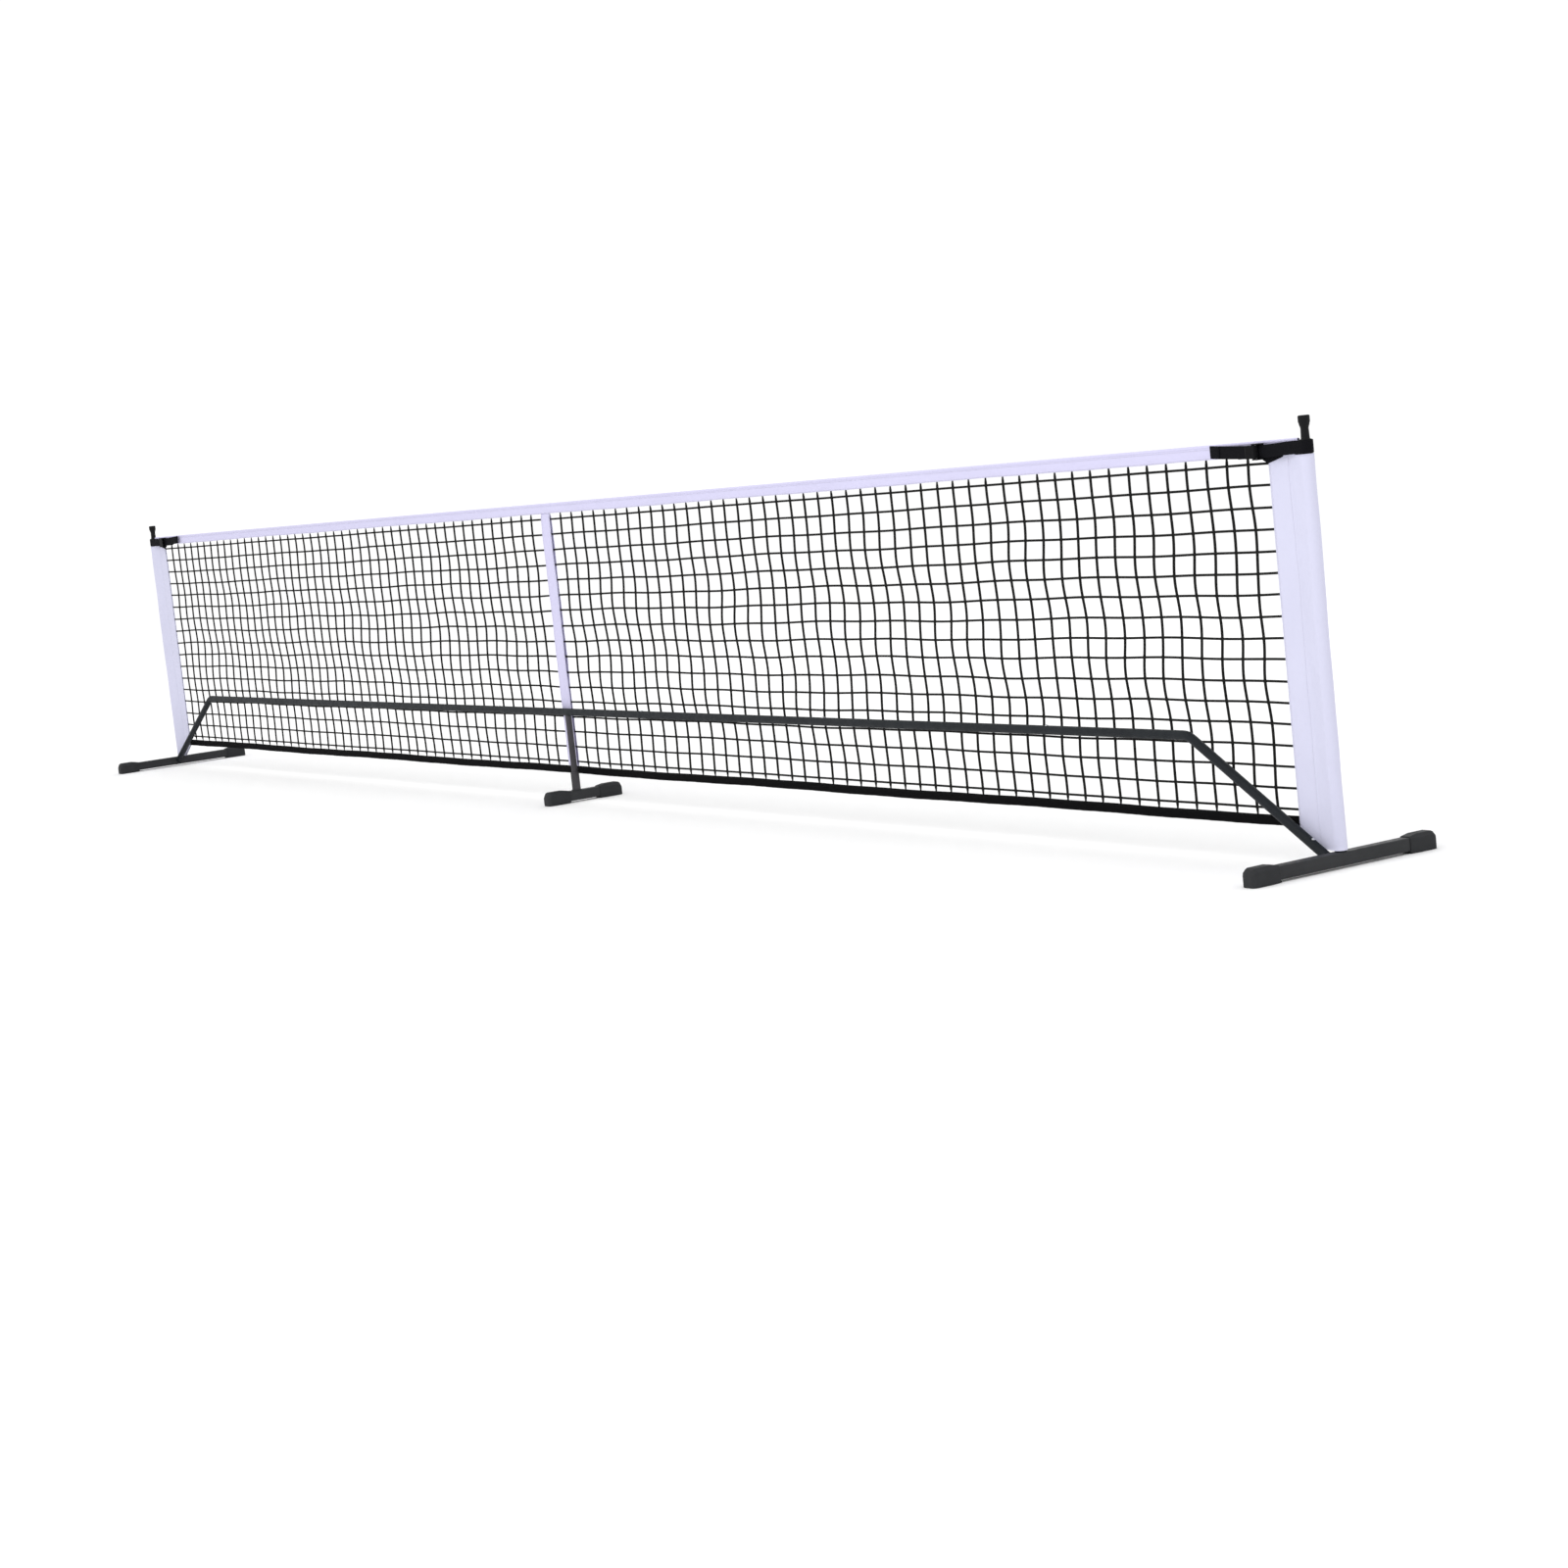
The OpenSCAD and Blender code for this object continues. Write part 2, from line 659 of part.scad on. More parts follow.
// The lever: a toothed cam on the pin and a thumb tab over the strap's tail
module cam_lever() {
    teeth = 14;
    tab_t = 2.4;
    tab_len = 26;
    color(plastic_black) translate([-buckle_at, cam_y, strap_mid]) difference() {
        union() {
            linear_extrude(2 * lever_half, center = true) difference() {
                circle(cam_r);
                for (i = [0:teeth - 1]) rotate(i * 360 / teeth) translate([cam_r + 0.15, 0]) rotate(45) square(0.9, center = true);
            }
            linear_extrude(2 * lever_half, center = true)
                polygon([[1, -cam_r * 0.98], [-tab_len, -cam_r + 1.2], [-tab_len - 3, -cam_r - 0.6], [-tab_len, -cam_r - tab_t + 1], [0, -cam_r + 0.6 - tab_t], [3, -cam_r * 0.8]]);
        }
        translate([0, 0, -lever_half - 1]) cylinder(d = cam_pin_d + 0.1, h = 2 * lever_half + 2);
        cylinder(r = cam_r - 1.6, h = 2 * spring_half, center = true);
    }
}

module cam_spring() {
    color(spring_steel) translate([-buckle_at, cam_y, strap_mid]) difference() {
        cylinder(r = cam_r - 1.9, h = 2 * spring_half - 1, center = true);
        cylinder(r = cam_pin_d / 2 + 0.2, h = 2 * spring_half + 1, center = true);
    }
}

on_left() at_post() foot_tube(foot_len);  // foot_tube_left
at_post() foot_tube(foot_len);  // foot_tube_right
foot_tube(centre_foot_len);  // foot_tube_centre
on_left() at_post() shoe_pair(foot_len);  // foot_shoes_left
at_post() shoe_pair(foot_len);  // foot_shoes_right
shoe_pair(centre_foot_len);  // foot_shoes_centre
on_left() at_post() post_stub();  // post_stub_left
at_post() post_stub();  // post_stub_right
on_left() brace_stub();  // brace_stub_left
brace_stub();  // brace_stub_right
leg_socket();
tee_stub();
centre_leg();
bar_centre();
on_left() bar_section(section_len * 0.5);  // bar_inner_left
bar_section(section_len * 0.5);  // bar_inner_right
on_left() bar_section(section_len * 1.5);  // bar_outer_left
bar_section(section_len * 1.5);  // bar_outer_right
on_left() brace();  // brace_left
brace();  // brace_right
on_left() at_bar_button(0) snap_button(bar_r, spigot_id / 2);  // snap_button_inner_left
at_bar_button(0) snap_button(bar_r, spigot_id / 2);  // snap_button_inner_right
on_left() at_bar_button(1) snap_button(bar_r, spigot_id / 2);  // snap_button_middle_left
at_bar_button(1) snap_button(bar_r, spigot_id / 2);  // snap_button_middle_right
on_left() at_bar_button(2) snap_button(bar_r, spigot_id / 2);  // snap_button_outer_left
at_bar_button(2) snap_button(bar_r, spigot_id / 2);  // snap_button_outer_right
on_left() at_brace_button() snap_button(bar_r, spigot_id / 2);  // snap_button_brace_left
at_brace_button() snap_button(bar_r, spigot_id / 2);  // snap_button_brace_right
at_leg_top_button() snap_button(leg_od / 2, plug_id(leg_od) / 2);  // snap_button_leg_top
at_leg_foot_button() snap_button(leg_socket_r, bore(leg_od) / 2);  // snap_button_leg_foot
button_springs();
on_left() at_post() post();  // post_left
at_post() post();  // post_right
on_left() at_post() post_cap();  // post_cap_left
at_post() post_cap();  // post_cap_right
net_mesh();
top_tape();
top_cord();
bottom_tape();
bottom_cord();
on_left() at_post() side_sleeve();  // side_sleeve_left
at_post() side_sleeve();  // side_sleeve_right
centre_tape();
on_left() at_post() strap();  // strap_left
at_post() strap();  // strap_right
on_left() at_post() anchor_strap();  // anchor_strap_left
at_post() anchor_strap();  // anchor_strap_right
on_left() at_post() corner_patch();  // corner_patch_left
at_post() corner_patch();  // corner_patch_right
on_left() at_post() buckle_frame();  // buckle_frame_left
at_post() buckle_frame();  // buckle_frame_right
on_left() at_post() cam_pin();  // cam_pin_left
at_post() cam_pin();  // cam_pin_right
on_left() at_post() cam_lever();  // cam_lever_left
at_post() cam_lever();  // cam_lever_right
for (side = [0, 1]) mirror([side, 0, 0]) at_post() cam_spring();  // cam_springs
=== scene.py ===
import math

import bmesh
import bpy
import numpy as np
from mathutils import Matrix, Vector


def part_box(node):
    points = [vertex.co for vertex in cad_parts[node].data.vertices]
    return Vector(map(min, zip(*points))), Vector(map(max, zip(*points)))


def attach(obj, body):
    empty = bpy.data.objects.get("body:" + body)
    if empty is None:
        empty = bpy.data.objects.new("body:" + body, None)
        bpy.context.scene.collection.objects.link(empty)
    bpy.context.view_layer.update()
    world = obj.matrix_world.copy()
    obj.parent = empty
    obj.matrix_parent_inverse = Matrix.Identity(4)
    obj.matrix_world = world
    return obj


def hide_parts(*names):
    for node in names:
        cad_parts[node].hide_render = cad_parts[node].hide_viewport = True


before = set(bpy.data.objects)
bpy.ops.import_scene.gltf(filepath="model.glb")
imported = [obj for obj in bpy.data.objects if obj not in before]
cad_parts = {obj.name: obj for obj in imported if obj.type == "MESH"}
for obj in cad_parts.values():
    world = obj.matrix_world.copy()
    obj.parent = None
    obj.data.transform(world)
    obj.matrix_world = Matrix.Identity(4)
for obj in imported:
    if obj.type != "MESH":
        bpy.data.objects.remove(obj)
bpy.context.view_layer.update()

MM = 0.001
ROOT = "frame_and_net"
SIDES = {"left": -1, "right": 1}


# ---------------------------------------------------------------- sizes read from the frame

def low(node):
    """The lowest x, y and z of a node."""
    return np.array(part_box(node)[0])


def high(node):
    """The highest x, y and z of a node."""
    return np.array(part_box(node)[1])


def half_width(node):
    """Half of a node's size along the net, which is the radius of an upright tube."""
    return (high(node)[0] - low(node)[0]) / 2


POST_X = (low("post_right")[0] + high("post_right")[0]) / 2
TAPE_LOW, TAPE_HIGH = low("top_tape")[2], high("top_tape")[2]
TAPE_END = high("top_tape")[0]
NET_LOW, HEM_HIGH = low("bottom_tape")[2], high("bottom_tape")[2]
CENTRE_LEFT, CENTRE_RIGHT = low("centre_tape")[0], high("centre_tape")[0]
SLEEVE_EDGE = low("side_sleeve_right")[0]
SLEEVE_LOW, SLEEVE_HIGH = low("side_sleeve_right")[2], high("side_sleeve_right")[2]
STRAP_LOW, STRAP_HIGH = low("strap_right")[2], high("strap_right")[2]
STRAP_MID = (STRAP_LOW + STRAP_HIGH) / 2
BAR = (low("bar_centre") + high("bar_centre")) / 2
BAR_R = (high("bar_centre")[2] - low("bar_centre")[2]) / 2
PIN = (low("cam_pin_right") + high("cam_pin_right")) / 2
FOOT_TOP = high("foot_tube_right")[2]

# Places along the net from the post's axis: the cam's pin, the end of the strap's tail, and the end of
# the anchor strap that is sewn to the tape.
BUCKLE_X = PIN[0] - POST_X
TAIL_X = low("strap_right")[0] - POST_X
ANCHOR_X = low("anchor_strap_right")[0] - POST_X

# A brace's axis leaves the bar's at BEND_X and meets its foot at BRACE_FOOT_Z.
BEND_X = POST_X - 440 * MM
BRACE_FOOT_Z = 22 * MM


# ---------------------------------------------------------------- camera, floor and light

def make_camera():
    """A long lens at the net's right end, turned a little on its own axis."""
    place = Vector((8.0429, -4.3048, 1.0104))
    azimuth, tilt, roll = math.radians(57.968), math.radians(-6.434), math.radians(-6.083)
    forward = Vector((
        -math.sin(azimuth) * math.cos(tilt),
        math.cos(azimuth) * math.cos(tilt),
        math.sin(tilt),
    ))
    right = Vector((math.cos(azimuth), math.sin(azimuth), 0))
    up = right.cross(forward)
    turned_right = right * math.cos(roll) + up * math.sin(roll)
    turned_up = up * math.cos(roll) - right * math.sin(roll)
    data = bpy.data.cameras.new("camera")
    data.lens = 68.46
    data.sensor_width = 36
    data.clip_end = 200
    camera = bpy.data.objects.new("camera", data)
    bpy.context.scene.collection.objects.link(camera)
    turn = Matrix((turned_right, turned_up, -forward)).transposed().to_4x4()
    camera.matrix_world = Matrix.Translation(place) @ turn
    bpy.context.scene.camera = camera


def make_light():
    """An even white surround with one large soft lamp in front of the net and one behind it."""
    scene = bpy.context.scene
    scene.view_settings.view_transform = "Standard"
    world = bpy.data.worlds.new("surround")
    world.use_nodes = True
    surround = world.node_tree.nodes["Background"].inputs
    surround["Color"].default_value = (1, 1, 1, 1)
    surround["Strength"].default_value = 1.08
    scene.world = world
    for name, place, power, size in (
        ("front_lamp", (3.5, -6.0, 5.0), 130, 5.0),
        ("back_lamp", (-3.0, 5.5, 4.5), 60, 4.0),
    ):
        data = bpy.data.lights.new(name, "AREA")
        data.energy = power
        data.size = size
        lamp = bpy.data.objects.new(name, data)
        scene.collection.objects.link(lamp)
        aim = Vector((0, 0, 0.5)) - Vector(place)
        lamp.matrix_world = Matrix.Translation(place) @ aim.to_track_quat("-Z", "Y").to_matrix().to_4x4()


def make_floor():
    """A pale, faintly clouded floor just under the shoes."""
    reach = 60
    mesh = bpy.data.meshes.new("floor")
    corners = [(-reach, -reach, 0), (reach, -reach, 0), (reach, reach, 0), (-reach, reach, 0)]
    mesh.from_pydata(corners, [], [(0, 1, 2, 3)])
    floor = bpy.data.objects.new("floor", mesh)
    bpy.context.scene.collection.objects.link(floor)
    pale = Graph("pale_floor", specular=0.0, roughness=0.9)
    cloud = pale.noise(pale.place(), scale=0.7, detail=3)
    pale.colour(pale.mix(cloud, (0.93, 0.93, 0.93, 1), (0.96, 0.96, 0.96, 1)))
    mesh.materials.append(pale.material)
    floor.location.z = -0.2 * MM


# ---------------------------------------------------------------- surfaces

def unit(v):
    """Each vector over its own length."""
    return v / np.maximum(np.linalg.norm(v, axis=-1, keepdims=True), 1e-12)


def circle(count):
    """The angles of a number of points evenly round a circle."""
    return np.arange(count) * 2 * np.pi / count


def running(steps):
    """Lengths added up from 0 on."""
    return np.concatenate([[0.0], np.cumsum(steps)])


def run_along(line):
    """How far along a line each of its points lies."""
    return running(np.linalg.norm(np.diff(line, axis=0), axis=1))


def right_of(line):
    """Unit normals to the right of a flat line [s][2]: its directions turned back by a quarter."""
    step = unit(np.gradient(line, axis=0))
    return np.stack([step[:, 1], -step[:, 0]], -1)


def waves(a, b, terms):
    """The sum of sines over two lengths: amount * sin(turns * (k * a + l * b + phase)) for each term."""
    return sum(amount * np.sin(2 * np.pi * (k * a + l * b + phase)) for amount, k, l, phase in terms)


def ease(x, start, end):
    """0 before start, 1 after end, and a smooth step between: 3 t^2 - 2 t^3."""
    t = np.clip((x - start) / (end - start), 0, 1)
    return t * t * (3 - 2 * t)


class Shell:
    """Points with quads and triangles over them, and a map of lengths in metres on each corner."""

    def __init__(self, points, quads, quad_map, tris, tri_map):
        self.points = points
        self.quads, self.quad_map = quads, quad_map
        self.tris, self.tri_map = tris, tri_map

    def volume(self):
        """The enclosed volume: the sum of a . (b x c) / 6 over triangles from the middle of the points."""
        p = self.points - self.points.mean(0)
        t = np.concatenate([self.quads[:, [0, 1, 2]], self.quads[:, [0, 2, 3]], self.tris])
        return (p[t[:, 0]] * np.cross(p[t[:, 1]], p[t[:, 2]])).sum() / 6

    def outward(self):
        """The same shell with its faces outwards."""
        if self.volume() < 0:
            self.quads, self.quad_map = self.quads[:, ::-1], self.quad_map[:, ::-1]
            self.tris, self.tri_map = self.tris[:, ::-1], self.tri_map[:, ::-1]
        return self


def shell(points, closed=False, ends="fan"):
    """A surface over a grid of points [along][round], joined all round. Its ends are closed to their
    middles ("fan") or straight across between the two halves of the ring ("strip"). Where the path is
    closed as well, the last ring joins the first."""
    n, m = points.shape[:2]
    flat = points.reshape(-1, 3)
    i, j = np.meshgrid(np.arange(n if closed else n - 1), np.arange(m), indexing="ij")
    a, b = (i + 1) % n, (j + 1) % m
    quads = np.stack([i * m + j, i * m + b, a * m + b, a * m + j], -1).reshape(-1, 4)
    s = running(np.linalg.norm(np.roll(points, -1, 0) - points, axis=2).mean(1))
    t = running(np.linalg.norm(np.roll(points, -1, 1) - points, axis=2).mean(0))
    corners = [(i, j), (i, j + 1), (i + 1, j + 1), (i + 1, j)]
    quad_map = np.stack([np.stack([s[u], t[v]], -1) for u, v in corners], 2).reshape(-1, 4, 2)
    tris, tri_map = np.zeros((0, 3), int), np.zeros((0, 3, 2))
    if not closed and ends == "fan":
        flat = np.concatenate([flat, points[:1].mean(1), points[-1:].mean(1)])
        k = np.arange(m)
        after = (k + 1) % m
        first = np.stack([np.full(m, n * m), after, k], -1)
        last = np.stack([np.full(m, n * m + 1), (n - 1) * m + k, (n - 1) * m + after], -1)
        tris = np.concatenate([first, last])
        across = np.stack([np.full(m, t[-1] / 2), t[k + 1], t[k]], 1)
        one = np.stack([np.zeros((m, 3)), across], -1)
        tri_map = np.concatenate([one, one[:, [0, 2, 1]] + np.array([s[n - 1], 0])])
    if not closed and ends == "strip":
        k = np.arange(m // 2 - 1)
        far = m - 1 - k
        first = np.stack([k, far, far - 1, k + 1], -1)
        last = np.stack([k, k + 1, far - 1, far], -1) + (n - 1) * m
        strip_map = np.stack([np.stack([0.0 * k, t[k]], -1)] * 4, 1)
        quads = np.concatenate([quads, first[:, ::-1], last[:, ::-1]])
        quad_map = np.concatenate([quad_map, strip_map, strip_map])
    return Shell(flat, quads, quad_map, tris, tri_map).outward()


def copies(base, origins, axes):
    """One copy of a small shell at each origin, its x, y and z along that origin's three axes [n][3][3]."""
    n, m = len(origins), len(base.points)
    points = origins[:, None, :] + np.einsum("pk,nkc->npc", base.points, axes)
    shift = (np.arange(n) * m)[:, None, None]
    return Shell(
        points.reshape(-1, 3),
        (base.quads[None] + shift).reshape(-1, 4),
        np.tile(base.quad_map, (n, 1, 1)),
        (base.tris[None] + shift).reshape(-1, 3),
        np.tile(base.tri_map, (n, 1, 1)),
    )


def joined(shells):
    """Several shells as one."""
    start = np.cumsum([0] + [len(s.points) for s in shells])
    return Shell(
        np.concatenate([s.points for s in shells]),
        np.concatenate([s.quads + k for s, k in zip(shells, start)]),
        np.concatenate([s.quad_map for s in shells]),
        np.concatenate([s.tris + k for s, k in zip(shells, start)]),
        np.concatenate([s.tri_map for s in shells]),
    )


def mirrored(shells, sign):
    """The shells on the net's other end where sign is -1, with their faces still outwards."""
    flip = np.array([sign, 1, 1])
    return [Shell(s.points * flip, s.quads, s.quad_map, s.tris, s.tri_map).outward() for s in shells]


def tube(path, out, half_out, half_side, closed=False):
    """A ten-sided oval tube along a path [n][3]: at each point, half_out * cos(angle) along out [n][3], made
    square to the path, and half_side * sin(angle) along the third direction."""
    if closed:
        along = np.roll(path, -1, 0) - np.roll(path, 1, 0)
    else:
        along = np.gradient(path, axis=0)
    along = unit(along)
    out = unit(out - (out * along).sum(-1, keepdims=True) * along)
    side = np.cross(along, out)
    angle = circle(10)[None, :, None]
    first = out[:, None] * np.cos(angle) * half_out[:, None, None]
    second = side[:, None] * np.sin(angle) * half_side[:, None, None]
    return shell(path[:, None] + first + second, closed=closed)


def turned(profile, centre):
    """A profile of (radius, height) turned about an upright axis; it starts and ends beside the axis."""
    angle = circle(72)
    r, z = profile[:, 0], profile[:, 1]
    return shell(np.stack([
        centre[0] + r[:, None] * np.cos(angle),
        centre[1] + r[:, None] * np.sin(angle),
        z[:, None] + 0 * angle,
    ], -1))


def rounding(radius, corner_r, corner_z, steps):
    """A quarter circle of (radius, height), from straight under a corner to straight beside it."""
    angle = np.linspace(0, np.pi / 2, steps)
    return np.stack([corner_r - radius * (1 - np.cos(angle)), corner_z - radius * (1 - np.sin(angle))], -1)


def smooth_line(points, steps):
    """A Catmull-Rom curve through points, with a number of steps to each span."""
    p = np.array(points, float)
    p = np.concatenate([[2 * p[0] - p[1]], p, [2 * p[-1] - p[-2]]])
    t = np.linspace(0, 1, steps, endpoint=False)[:, None]
    spans = [
        0.5 * (2 * b + (c - a) * t + (2 * a - 5 * b + 4 * c - d) * t ** 2 + (3 * b - a - 3 * c + d) * t ** 3)
        for a, b, c, d in zip(p, p[1:], p[2:], p[3:])
    ]
    return np.concatenate(spans + [p[-2:-1]])


def spaced(path, gap):
    """Points and directions along a line, a gap apart."""
    run = run_along(path)
    count = max(1, int(round(run[-1] / gap)))
    middles = (np.arange(count) + 0.5) * run[-1] / count

    def place(length):
        return np.stack([np.interp(length, run, path[:, k]) for k in range(path.shape[1])], -1)

    return place(middles), unit(place(middles + 0.2 * gap) - place(middles - 0.2 * gap))


def stitch_row(path, normal, length=4.2 * MM, gap=6 * MM, thick=0.45 * MM):
    """A row of threads along a line on a surface: low pillows, each a tube that thins to its ends."""
    places, along = spaced(np.concatenate([path, normal], 1), gap)
    places, out, along = places[:, :3], unit(places[:, 3:]), unit(along[:, :3])
    out = unit(out - (out * along).sum(-1, keepdims=True) * along)
    x = np.array([-0.5, -0.3, 0.3, 0.5])[:, None] * length
    r = np.array([0.35, 1, 1, 0.35])[:, None] * thick
    angle = circle(5)
    base = shell(np.stack([x + 0 * angle, r * np.cos(angle), 0.7 * r * np.sin(angle)], -1))
    return copies(base, places, np.stack([along, np.cross(out, along), out], 1))


def upright_sheet(outline, z):
    """The middle surface of cloth stood over an outline [s][2] in x and y at heights z [a][s], and its
    normals to the right of the outline."""
    mid = np.zeros((len(z), len(outline), 3))
    mid[:, :, :2] = outline
    mid[:, :, 2] = z
    out = np.zeros_like(mid)
    out[:, :, :2] = right_of(outline)
    return mid, out


def cloth(mid, out, lift, thickness):
    """A closed skin over a middle surface [a][s]: out along its normals by lift and half the thickness,
    and back the same way on the other face."""
    half = np.broadcast_to(thickness, lift.shape)[..., None] / 2
    outer = mid + out * (lift[..., None] + half)
    inner = mid + out * (lift[..., None] - half)
    return shell(np.concatenate([outer, inner[:, ::-1]], 1), ends="strip")


def thread_lines(mid, out, lift, thickness):
    """Where threads lie on a cloth's outer face: a tenth of a millimetre over it."""
    return mid + out * (lift[..., None] + thickness / 2 + 0.1 * MM)


# ---------------------------------------------------------------- pieces

def add_piece(name, mesh, material, body):
    """An object of a mesh in one material, riding on a body."""
    mesh.materials.append(material)
    piece = bpy.data.objects.new(name, mesh)
    bpy.context.scene.collection.objects.link(piece)
    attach(piece, body)
    return piece


def make_piece(name, shells, material, body=ROOT, crease=None):
    """One object of some shells, smooth but for edges sharper than crease degrees."""
    whole = joined(shells)
    mesh = bpy.data.meshes.new(name)
    quads, tris = len(whole.quads), len(whole.tris)
    corners = np.concatenate([whole.quads.ravel(), whole.tris.ravel()])
    starts = np.concatenate([4 * np.arange(quads), 4 * quads + 3 * np.arange(tris)])
    lengths = np.concatenate([whole.quad_map.ravel(), whole.tri_map.ravel()])
    mesh.vertices.add(len(whole.points))
    mesh.vertices.foreach_set("co", whole.points.astype(np.float32).ravel())
    mesh.loops.add(len(corners))
    mesh.loops.foreach_set("vertex_index", corners.astype(np.int32))
    mesh.polygons.add(quads + tris)
    mesh.polygons.foreach_set("loop_start", starts.astype(np.int32))
    mesh.update(calc_edges=True)
    mesh.uv_layers.new(name="lengths").data.foreach_set("uv", lengths.astype(np.float32))
    mesh.polygons.foreach_set("use_smooth", np.ones(quads + tris, bool))
    if crease is not None:
        mesh.set_sharp_from_angle(angle=math.radians(crease))
    return add_piece(name, mesh, material, body)


def round_edges(piece, width, segments, angle):
    """A rounding along the piece's edges that are sharper than an angle in degrees."""
    bevel = piece.modifiers.new("rounding", "BEVEL")
    bevel.width = width
    bevel.segments = segments
    bevel.limit_method = "ANGLE"
    bevel.angle_limit = math.radians(angle)


def moulded_copy(node, name, material, body, width):
    """A CAD node's shape, its triangles merged into flat faces, with rounded edges."""
    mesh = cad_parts[node].data.copy()
    mesh.name = name
    edit = bmesh.new()
    edit.from_mesh(mesh)
    bmesh.ops.remove_doubles(edit, verts=edit.verts, dist=0.01 * MM)
    bmesh.ops.dissolve_limit(edit, angle_limit=math.radians(1), verts=edit.verts, edges=edit.edges)
    edit.to_mesh(mesh)
    edit.free()
    mesh.materials.clear()
    piece = add_piece(name, mesh, material, body)
    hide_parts(node)
    round_edges(piece, width, segments=2, angle=25)


# ---------------------------------------------------------------- materials

class Graph:
    """A material whose nodes are added one at a time; constants go straight onto the shader."""

    NAMES = {
        "specular": "Specular IOR Level",
        "metallic": "Metallic",
        "roughness": "Roughness",
        "sheen": "Sheen Weight",
    }

    def __init__(self, name, **constants):
        self.material = bpy.data.materials.new(name)
        self.material.use_nodes = True
        self.tree = self.material.node_tree
        self.shader = self.tree.nodes["Principled BSDF"]
        for key, value in constants.items():
            self.shader.inputs[self.NAMES[key]].default_value = value

    def add(self, kind, sockets, **settings):
        """A new node's first output, its sockets linked or set and its own settings made."""
        node = self.tree.nodes.new("ShaderNode" + kind)
        for key, value in settings.items():
            setattr(node, key, value)
        for key, value in sockets.items():
            if isinstance(value, bpy.types.NodeSocket):
                self.tree.links.new(value, node.inputs[key])
            else:
                node.inputs[key].default_value = value
        return node.outputs[0]

    def place(self, scale=(1, 1, 1), turn=(0, 0, 0)):
        """The object's own place in metres, stretched and turned."""
        texture = self.tree.nodes.new("ShaderNodeTexCoord")
        return self.add("Mapping", {"Vector": texture.outputs["Object"], "Scale": scale, "Rotation": turn})

    def noise(self, vector, scale, detail, roughness=0.5):
        sockets = {"Vector": vector, "Scale": scale, "Detail": detail, "Roughness": roughness}
        return self.add("TexNoise", sockets)

    def math(self, operation, a, b=0.0):
        return self.add("Math", {0: a, 1: b}, operation=operation)

    def span(self, value, start, end, first=0.0, last=1.0):
        """A value between start and end as one between first and last."""
        sockets = {"Value": value, "From Min": start, "From Max": end, "To Min": first, "To Max": last}
        return self.add("MapRange", sockets)

    def mix(self, factor, a, b):
        return self.add("MixRGB", {"Fac": factor, "Color1": a, "Color2": b})

    def tones(self, factor, colour, dark, light):
        """A colour times dark where a factor is 0, and times light where it is 1."""
        return self.mix(factor, shade(colour, dark), shade(colour, light))

    def lengths(self):
        """The piece's own two lengths in metres, along and across."""
        texture = self.tree.nodes.new("ShaderNodeTexCoord")
        parts = self.tree.nodes.new("ShaderNodeSeparateXYZ")
        self.tree.links.new(texture.outputs["UV"], parts.inputs[0])
        return parts.outputs[0], parts.outputs[1]

    def sine(self, value, period):
        """sin(turns * value / period)."""
        return self.math("SINE", self.math("MULTIPLY", value, 2 * math.pi / period))

    def colour(self, value):
        self.tree.links.new(value, self.shader.inputs["Base Color"])

    def rough(self, value):
        self.tree.links.new(value, self.shader.inputs["Roughness"])

    def bump(self, height, depth, strength, under=None):
        """Relief of a depth in metres, over other relief."""
        sockets = {"Height": height, "Distance": depth, "Strength": strength}
        if under is not None:
            sockets["Normal"] = under
        normal = self.add("Bump", sockets)
        self.tree.links.new(normal, self.shader.inputs["Normal"])
        return normal


def shade(colour, factor):
    """A colour times a factor, with the alpha that a socket takes."""
    return tuple(min(1.0, c * factor) for c in colour) + (1.0,)


def powder_coat(name, colour):
    """Baked paint on steel tube: a fine orange peel, faint cloudiness and rubbed lines along the net."""
    g = Graph(name, specular=0.14)
    cloud = g.noise(g.place(), scale=9, detail=4)
    rub = g.noise(g.place(scale=(9, 260, 260)), scale=1, detail=3, roughness=0.6)
    body = g.tones(g.span(cloud, 0.35, 0.65), colour, 0.88, 1.12)
    g.colour(g.mix(g.span(rub, 0.66, 0.8, 0, 0.45), body, shade(colour, 2.1)))
    g.rough(g.span(g.noise(g.place(), scale=60, detail=3), 0.3, 0.7, 0.44, 0.6))
    g.bump(g.noise(g.place(), scale=620, detail=1), 0.12 * MM, 0.5)
    return g.material


def moulded(name, colour, specular, rough, grain):
    """Moulded plastic or rubber: a spark-eroded grain and slight scuffing."""
    g = Graph(name, specular=specular)
    cloud = g.noise(g.place(), scale=30, detail=4)
    scuff = g.noise(g.place(scale=(1, 1, 4)), scale=160, detail=5, roughness=0.7)
    body = g.tones(g.span(cloud, 0.3, 0.7), colour, 0.86, 1.14)
    g.colour(g.mix(g.span(scuff, 0.62, 0.78, 0, 0.35), body, shade(colour, 2.4)))
    g.rough(g.span(cloud, 0.3, 0.7, rough - 0.07, rough + 0.09))
    g.bump(g.noise(g.place(), scale=grain, detail=2), 0.08 * MM, 0.6)
    return g.material


def metal(name, colour, rough, lines):
    """Plated or spring steel: drawn lines, faint blotches in the plating."""
    g = Graph(name, metallic=1.0)
    blotch = g.noise(g.place(), scale=220, detail=3)
    drawn = g.noise(g.place(scale=(60, lines, lines)), scale=1, detail=2)
    g.colour(g.tones(g.span(blotch, 0.35, 0.65), colour, 0.85, 1.08))
    g.rough(g.span(blotch, 0.3, 0.7, rough - 0.08, rough + 0.12))
    g.bump(drawn, 0.02 * MM, 0.4)
    return g.material


